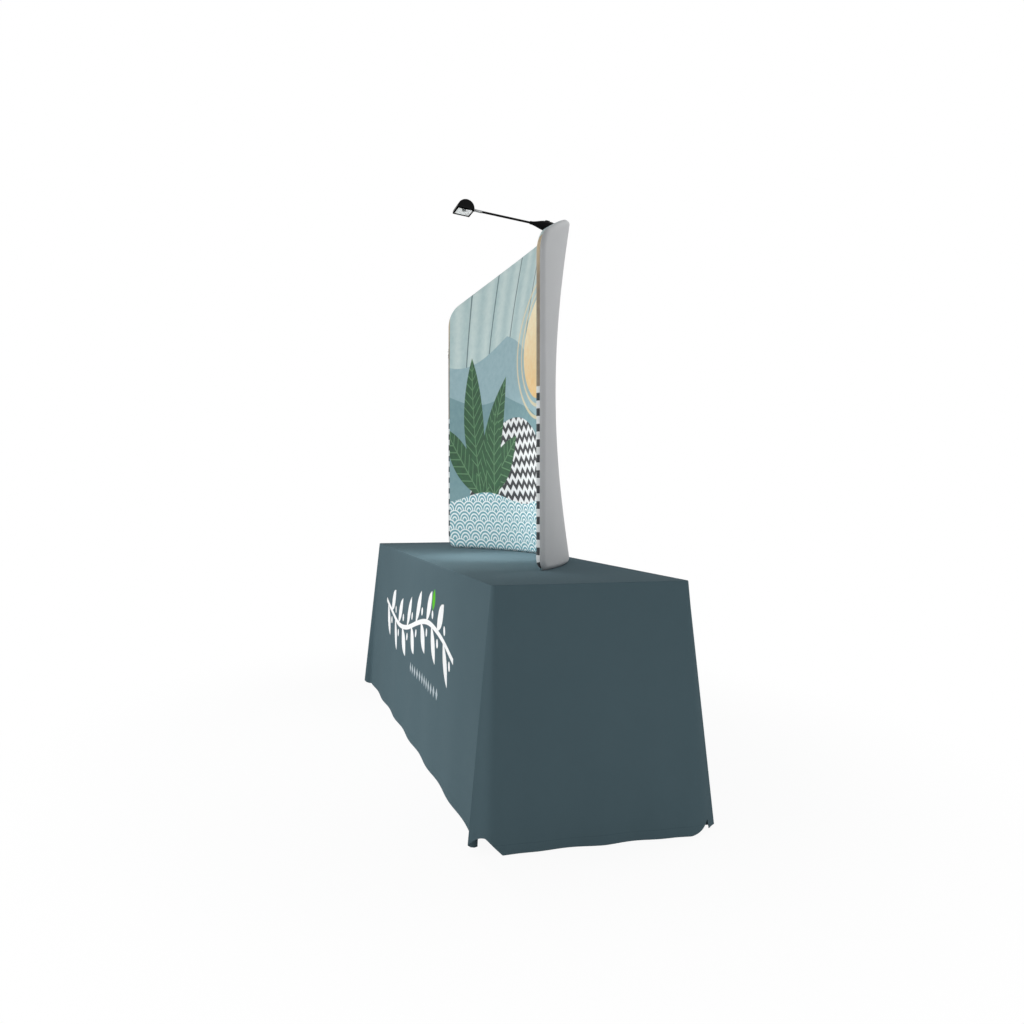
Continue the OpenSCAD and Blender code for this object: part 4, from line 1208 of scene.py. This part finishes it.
@dataclass
class FabricPanel:
    """The curved panel: two sheets stretched over the tube frame, with a seam along the tube's outside.

    Sizes are in metres. In the methods, s is the distance along the plan curve from its middle, and
    w is the share of the height, from 0 at the lower tube to 1 at the upper one.
    """

    half_chord: float = 0.740
    arc_r: float = 1.157
    apex_y: float = 0.254
    low_z: float = 0.7567
    apex_z: float = 2.0582
    crown_r: float = 1.651
    bend_top: float = 0.094
    bend_low: float = 0.024
    skin_r: float = 0.0166
    waist: float = 0.285
    cloth: float = 0.0007
    wrap: float = 0.985
    seam_back: float = 0.1
    seam_start: float = 0.02
    seam_run: float = 0.3
    cord_r: float = 0.0011
    cord_sink: float = 0.0003
    flat: Place = (1.63, 1.345)
    middle_steps: int = 64
    bend_steps: int = 14
    rows: int = 64
    wraps: int = 8
    reach: float = field(init=False)
    half_turn: float = field(init=False)
    bend_s: float = field(init=False)
    bend_z: float = field(init=False)

    def __post_init__(self) -> None:
        """Works out the curve's length and where the crown meets the bends."""
        self.half_turn = math.asin(self.half_chord / self.arc_r)
        self.reach = self.arc_r * self.half_turn
        slope = math.atan((self.reach - self.bend_top) / self.crown_r)
        for _ in range(5):
            slope = math.atan((self.reach - self.bend_top + self.bend_top * math.sin(slope)) / self.crown_r)
        self.bend_s = self.reach - self.bend_top + self.bend_top * math.sin(slope)
        self.bend_z = self.crown(self.bend_s) - self.bend_top * math.cos(slope)

    def crown(self, s: float) -> float:
        """Returns the top tube's height over a place on the curve."""
        return self.apex_z - s * s / (2 * self.crown_r)

    def high_z(self, s: float) -> float:
        """Works out the height of the tube's upper line.

        Args:
            s: The place along the curve.

        Returns:
            The height.
        """
        if abs(s) <= self.bend_s:
            return self.crown(s)
        gone = abs(s) - self.reach + self.bend_top
        return self.bend_z + math.sqrt(max(0.0, self.bend_top ** 2 - gone ** 2))

    def edge_z(self, s: float) -> float:
        """Returns the height of the tube's lower line."""
        gone = max(0.0, abs(s) - self.reach + self.bend_low)
        return self.low_z + self.bend_low - math.sqrt(max(0.0, self.bend_low ** 2 - gone ** 2))

    def on_arc(self, s: float) -> tuple[float, float]:
        """Returns the plan place of a distance along the curve."""
        turn = s / self.arc_r
        return self.arc_r * math.sin(turn), self.apex_y - self.arc_r + self.arc_r * math.cos(turn)

    def mid(self, s: float, w: float) -> Vector:
        """Works out a point half way between the two sheets.

        Args:
            s: The place along the curve.
            w: The share of the height.

        Returns:
            The point.
        """
        x, y = self.on_arc(s)
        pole_y = self.apex_y - self.arc_r + self.arc_r * math.cos(self.half_turn)
        return Vector((x, mix(pole_y, y, self.hollow(w)), mix(self.edge_z(s), self.high_z(s), w)))

    def hollow(self, w: float) -> float:
        """Returns the share of the curve's depth that is left at a height."""
        return 1 - self.waist * math.sin(math.pi * w)

    def back(self, s: float, w: float) -> Vector:
        """Returns the way to the panel's back."""
        turn = math.atan(self.hollow(w) * math.tan(s / self.arc_r))
        return Vector((math.sin(turn), math.cos(turn), 0))

    def outward(self, s: float, high: Optional[bool]) -> Vector:
        """Works out the way out of the panel in its own surface.

        Args:
            s: The place along the curve.
            high: True at the upper line, False at the lower one and None at a pole.

        Returns:
            The way.
        """
        if high is None:
            lean = 0.0
        elif high:
            gone = min(1.0, (abs(s) - self.reach + self.bend_top) / self.bend_top)
            crown_lean = math.pi / 2 - math.atan(abs(s) / self.crown_r)
            lean = crown_lean if abs(s) <= self.bend_s else math.acos(gone)
        else:
            lean = -math.acos(min(1.0, max(0.0, abs(s) - self.reach + self.bend_low) / self.bend_low))
        turn = s / self.arc_r
        side = 1 if s > 0 or (s == 0 and high is None) else -1
        flat = math.cos(lean) * side
        return Vector((math.cos(turn) * flat, -math.sin(turn) * flat, math.sin(lean)))

    def columns(self) -> list[float]:
        """Spaces the grid's columns, closer together in the bends.

        Returns:
            Their places along the curve.
        """
        inner = self.reach - self.bend_top
        half = [inner * (i + 0.5) / self.middle_steps for i in range(self.middle_steps)]
        half += [inner + self.bend_top * math.sin(math.radians(90 * i / self.bend_steps))
                 for i in range(self.bend_steps + 1)]
        return [-s for s in reversed(half)] + half

    def seam_turn(self, s: float) -> float:
        """Returns how far the seam lies behind the tube's outside, as a share of a quarter turn."""
        return self.seam_back * smooth((s + self.reach - self.seam_start) / self.seam_run)

    def border(self, columns: Sequence[float]) -> list[tuple[int, int, Vector]]:
        """Walks round the grid's edge: bottom, right pole, top, left pole.

        Args:
            columns: The columns' places.

        Returns:
            Each edge point's column, row and outward way.
        """
        n, m = len(columns), self.rows
        walk = [(i, 0, False) for i in range(n - 1)] + [(n - 1, j, None) for j in range(m)]
        walk += [(i, m, True) for i in range(n - 1, 0, -1)] + [(0, j, None) for j in range(m, 0, -1)]
        return [(i, j, self.outward(columns[i], high)) for i, j, high in walk]

    def sheet(self, name: str, side: int) -> bpy.types.Object:
        """Builds one sheet, wrapped round the tube to the seam.

        Args:
            name: The piece's name.
            side: 1 for the back and -1 for the front.

        Returns:
            The sheet.
        """
        columns = self.columns()
        n, m = len(columns), self.rows
        points: list[Vector] = []
        places: list[tuple[float, float]] = []
        for s in columns:
            for j in range(m + 1):
                w = j / m
                at = self.mid(s, w)
                points.append(at + side * self.skin_r * self.back(s, w))
                places.append((s, at.z - self.low_z + self.skin_r))
        border = self.border(columns)
        quarter = self.skin_r * math.pi / 2
        for k in range(1, self.wraps + 1):
            for i, j, out in border:
                s, w = columns[i], j / m
                share = (self.wrap - side * self.seam_turn(s)) * k / self.wraps
                a, b = side * self.back(s, w), out
                between = math.acos(max(-1.0, min(1.0, a.dot(b))))
                way = a * math.sin((1 - share) * between) + b * math.sin(share * between)
                at = self.mid(s, w)
                points.append(at + self.skin_r * (way / math.sin(between)))
                flat = out.x * math.cos(s / self.arc_r) - out.y * math.sin(s / self.arc_r)
                rise = at.z - self.low_z + self.skin_r
                places.append((s + flat * share * quarter, rise + out.z * share * quarter))
        count = len(border)
        base = n * (m + 1)

        def strip(k: int, index: int) -> int:
            """Returns the number of a point on one of the wrap's rings."""
            i, j = border[index % count][:2]
            return i * (m + 1) + j if k == 0 else base + (k - 1) * count + index % count

        faces = [(i * (m + 1) + j, i * (m + 1) + j + 1, (i + 1) * (m + 1) + j + 1, (i + 1) * (m + 1) + j)
                 for i in range(n - 1) for j in range(m)]
        faces += [(strip(k, i), strip(k, i + 1), strip(k + 1, i + 1), strip(k + 1, i))
                  for k in range(self.wraps) for i in range(count)]
        if side < 0:
            faces = [tuple(reversed(f)) for f in faces]
        piece = new_cloth(name, points, faces, places)
        self._turn_out(piece, side)
        Workshop.apply(piece, "SOLIDIFY", thickness=self.cloth, offset=-1.0, use_rim=True)
        return Workshop.shade(piece, 60.0)

    def _turn_out(self, piece: bpy.types.Object, side: int) -> None:
        """Makes a sheet's faces point away from the tube.

        Args:
            piece: The sheet.
            side: 1 for the back and -1 for the front.
        """
        face = piece.data.polygons[(len(self.columns()) // 2) * self.rows + self.rows // 2]
        if face.normal.y * side < 0:
            piece.data.flip_normals()

    def piping(self) -> bpy.types.Object:
        """Builds the seam's thin flat-felled cord, once round the panel's outside.

        Returns:
            The cord.
        """
        columns = self.columns()
        curve = bpy.data.curves.new("panel_seam", "CURVE")
        curve.dimensions = "3D"
        curve.bevel_depth = self.cord_r
        curve.bevel_resolution = 2
        line = curve.splines.new("POLY")
        border = self.border(columns)
        line.points.add(len(border) - 1)
        for point, (i, j, out) in zip(line.points, border):
            s, w = columns[i], j / self.rows
            turn = self.seam_turn(s) * math.pi / 2
            way = out * math.cos(turn) + self.back(s, w) * math.sin(turn)
            point.co = (*(self.mid(s, w) + (self.skin_r - self.cord_sink) * way.normalized()), 1)
        line.use_cyclic_u = True
        Workshop.only(placed("panel_seam", curve))
        bpy.ops.object.convert(target="MESH")
        return Workshop.shade(bpy.context.object, 60.0)

    def dress(self, rack: FinishRack) -> None:
        """Builds both sheets and the seam and dresses them.

        Args:
            rack: The finishes.
        """
        for name, side, node, slot in (("front_print", -1, "front_graphic", "graphic_fabric"),
                                       ("back_knit", 1, "back_fabric", "back_cloth")):
            piece = self.sheet(name, side)
            Workshop.dress(piece, rack[slot], "stand", slot)
            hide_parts(node)
        Workshop.dress(self.piping(), rack["back_cloth"], "stand", "back_cloth")


@dataclass
class RoundedPieces:
    """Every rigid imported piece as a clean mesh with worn-in edges, on its own body and in its own finish.

    A piece takes the round of the first stem that its name begins with. Cloth has none.
    """

    frame: dict
    rack: FinishRack
    rounds: dict[str, float] = field(default_factory=lambda: {
        "table_board": 0.0012, "board_edging": 0.0008, "board_battens": 0.0015,
        "rail_screws": 0.0003, "rail_": 0.0006, "leg_frame": 0.0004, "foot_caps": 0.0012,
        "brace_bracket": 0.0004, "brace_": 0.0005, "frame_": 0.0003, "tube_ferrules": 0.0003,
        "snap_button": 0.0002, "zip_slider": 0.0004, "zip_": 0.0003,
        "clamp_bracket": 0.0009, "clamp_pin": 0.0003, "clamp_screw": 0.0002, "clamp_pad": 0.0005,
        "clamp_knob": 0.0008, "housing_screws": 0.0002, "housing_": 0.0, "power_inlet": 0.0003,
        "switch_": 0.0004, "driver_board": 0.0002, "lamp_": 0.0005, "head_pin": 0.0003,
        "head_hood": 0.0012, "head_bezel": 0.0008, "head_lens": 0.0004, "head_": 0.0,
    })
    swept: tuple[str, ...] = ("frame_end", "tube", "housing_lower", "housing_upper")
    swept_flat: float = 0.4
    plain_flat: float = 4.0
    chip_z: float = 2.1075
    head_y: float = -0.116
    glass_z: float = 2.1467
    glass_slope: float = 0.1365
    cup_rim: float = 0.008
    cup_width: float = 0.88
    cup_length: float = 1.49
    cup_face: float = 0.0002

    def build(self) -> None:
        """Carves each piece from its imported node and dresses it."""
        slots = finish_slots(self.frame)
        bodies = {node: body for body, nodes in self.frame["record"]["behaviour"]["bodies"].items()
                  for node in nodes}
        for node, packed in list(self.frame["nodes"].items()):
            width = next((width for stem, width in self.rounds.items() if node.startswith(stem)), None)
            if width is None:
                continue
            flat = self.swept_flat if any(word in node for word in self.swept) else self.plain_flat
            piece = Workshop.carved(packed, node + "_rounded", width, flat)
            Workshop.dress(piece, self.rack[slots[node]], bodies[node], slots[node])
            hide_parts(node)
            if node == "head_led":
                piece.data.materials[0] = self.rack.lamp_cup
                self.lengthen(piece)
            elif node == "head_bezel":
                piece.data.materials[0] = self.rack.lamp_trim
            elif node == "driver_board":
                self.second(piece, self.rack.chip_resin, lambda at: at.z > self.chip_z)

    def glass(self, y: float) -> float:
        """Returns the height of the lamp's sloping glass."""
        return self.glass_z - (y - self.head_y) * self.glass_slope

    def lengthen(self, piece: bpy.types.Object) -> None:
        """Draws the lamp's cup down to just over the glass, where its face closes it.

        Args:
            piece: The cup.
        """
        top = max(corner.co.z for corner in piece.data.vertices)
        for corner in piece.data.vertices:
            lowest = self.glass(corner.co.y)
            if corner.co.z < top - self.cup_rim:
                corner.co.x *= self.cup_width
                corner.co.y = mix(self.head_y, corner.co.y, self.cup_width)
            corner.co.z = max(lowest, top + (corner.co.z - top) * self.cup_length)
        self.second(piece, self.rack.lamp_face, lambda at: at.z < self.glass(at.y) + self.cup_face)

    @staticmethod
    def second(piece: bpy.types.Object, material: bpy.types.Material,
               wanted: Callable[[Vector], bool]) -> None:
        """Gives some of the faces a second material.

        Args:
            piece: The piece.
            material: The second material.
            wanted: The test that those faces' middles pass.
        """
        piece.data.materials.append(material)
        for face in piece.data.polygons:
            face.material_index = int(wanted(face.center))


@dataclass
class Studio:
    """The plain pale floor, soft light and the camera at the photograph's angle."""

    eye: Point = (3.864, -0.967, 0.999)
    yaw: float = 74.76
    pitch: float = -1.08
    lens: float = 33.996
    floor_size: float = 80.0
    shadow_reach: float = 1.35
    shadow_fade: float = 1.3
    shadow_squash: float = 0.72

    def camera(self) -> None:
        """Sets up the camera."""
        data = bpy.data.cameras.new("view")
        data.lens = self.lens
        data.sensor_width = 36.0
        data.clip_end = 200.0
        yaw, pitch = math.radians(self.yaw), math.radians(self.pitch)
        way = (-math.sin(yaw) * math.cos(pitch), math.cos(yaw) * math.cos(pitch), math.sin(pitch))
        bpy.context.scene.camera = placed("view", data, self.eye, way)

    @staticmethod
    def lamp(name: str, kind: str, place: Point, way: Sequence[float], power: float,
             **settings: object) -> None:
        """Adds one lamp.

        Args:
            name: Its name.
            kind: Its Blender kind.
            place: Where it stands.
            way: Where it points.
            power: Its power in watts.
            **settings: What else is set on it.
        """
        data = bpy.data.lights.new(name, kind)
        data.energy = power
        for key, value in settings.items():
            setattr(data, key, value)
        placed(name, data, place, way)

    def lights(self) -> None:
        """Adds three soft lights, and the display lamp's own light: a bright pool and its wide spill."""
        for name, place, target, size, power in (("front_soft", (-0.6, -5.6, 1.0), (0, 0, 0.9), 3.4, 178.0),
                                                 ("right_soft", (5.6, 1.0, 0.8), (0, 0, 0.7), 2.4, 56.0),
                                                 ("back_soft", (-0.4, 2.5, 3.6), (0, 0.2, 1.6), 1.6, 42.0)):
            self.lamp(name, "AREA", place, Vector(target) - Vector(place), power, shape="DISK", size=size)
        for name, y, lean, width, power in (("lamp_pool", -0.30, 0.34, 36.0, 58.0),
                                            ("lamp_spill", -0.36, -0.12, 99.0, 66.0)):
            self.lamp(name, "SPOT", (0.0, y, 2.0), (0.0, lean, -1.26), power,
                      spot_size=math.radians(width), spot_blend=1.0, shadow_soft_size=0.09)

    def floor(self) -> None:
        """Adds the floor, which fades to white around the object but keeps its shadow."""
        Workshop.clear()
        bpy.ops.mesh.primitive_plane_add(size=self.floor_size, location=(0, 0, 0))
        plane = bpy.context.object
        plane.name = "studio_floor"
        sheet = ShaderSheet("pale_floor")
        x, y, _ = sheet.parts(sheet.place())
        far = radius(x * self.shadow_squash, y).above(self.shadow_reach, self.shadow_fade)
        mottled = sheet.noise(sheet.place(), 3.0, 2.0, 0.5)
        sheet.finish(Base_Color=sheet.blend(mottled, (0.9, 0.9, 0.9), (0.93, 0.93, 0.93)), Roughness=0.9,
                     Specular_IOR_Level=0.0)
        white = sheet.node("ShaderNodeEmission", inputs={"Color": (1.0, 1.0, 1.0), "Strength": 1.0})
        lit = Signal(sheet, sheet.surface.outputs[0])
        share = sheet.seen() * (far * 0.07 + 0.93)
        both = sheet.node("ShaderNodeMixShader", inputs={0: share, 1: lit, 2: white})
        sheet.feed(sheet.output.inputs[0], both)
        plane.data.materials.append(sheet.material)

    def world(self) -> None:
        """Sets an even pale light all round, which looks white itself."""
        world = bpy.data.worlds.new("surround")
        bpy.context.scene.world = world
        world.use_nodes = True
        sheet = NodeSheet(world.node_tree, "ShaderNodeOutputWorld")
        ambient, white = (sheet.node("ShaderNodeBackground", inputs={"Color": colour, "Strength": strength})
                          for colour, strength in (((0.96, 0.98, 1.0), 0.325), ((1.0, 1.0, 1.0), 1.0)))
        both = sheet.node("ShaderNodeMixShader", inputs={0: sheet.seen(), 1: ambient, 2: white})
        sheet.feed(sheet.output.inputs[0], both)

    def build(self) -> None:
        """Builds the whole studio."""
        self.camera()
        self.world()
        self.floor()
        self.lights()
        bpy.context.scene.view_settings.view_transform = "Standard"


def main() -> None:
    """Builds the studio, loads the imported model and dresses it."""
    logging.basicConfig(level=logging.INFO, format="%(name)s: %(message)s")
    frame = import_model()
    Studio().build()
    rack = FinishRack()
    rack.dress_nodes(frame)
    TableThrow().dress(rack)
    FabricPanel().dress(rack)
    RoundedPieces(frame, rack).build()


if __name__ == "__main__":
    main()
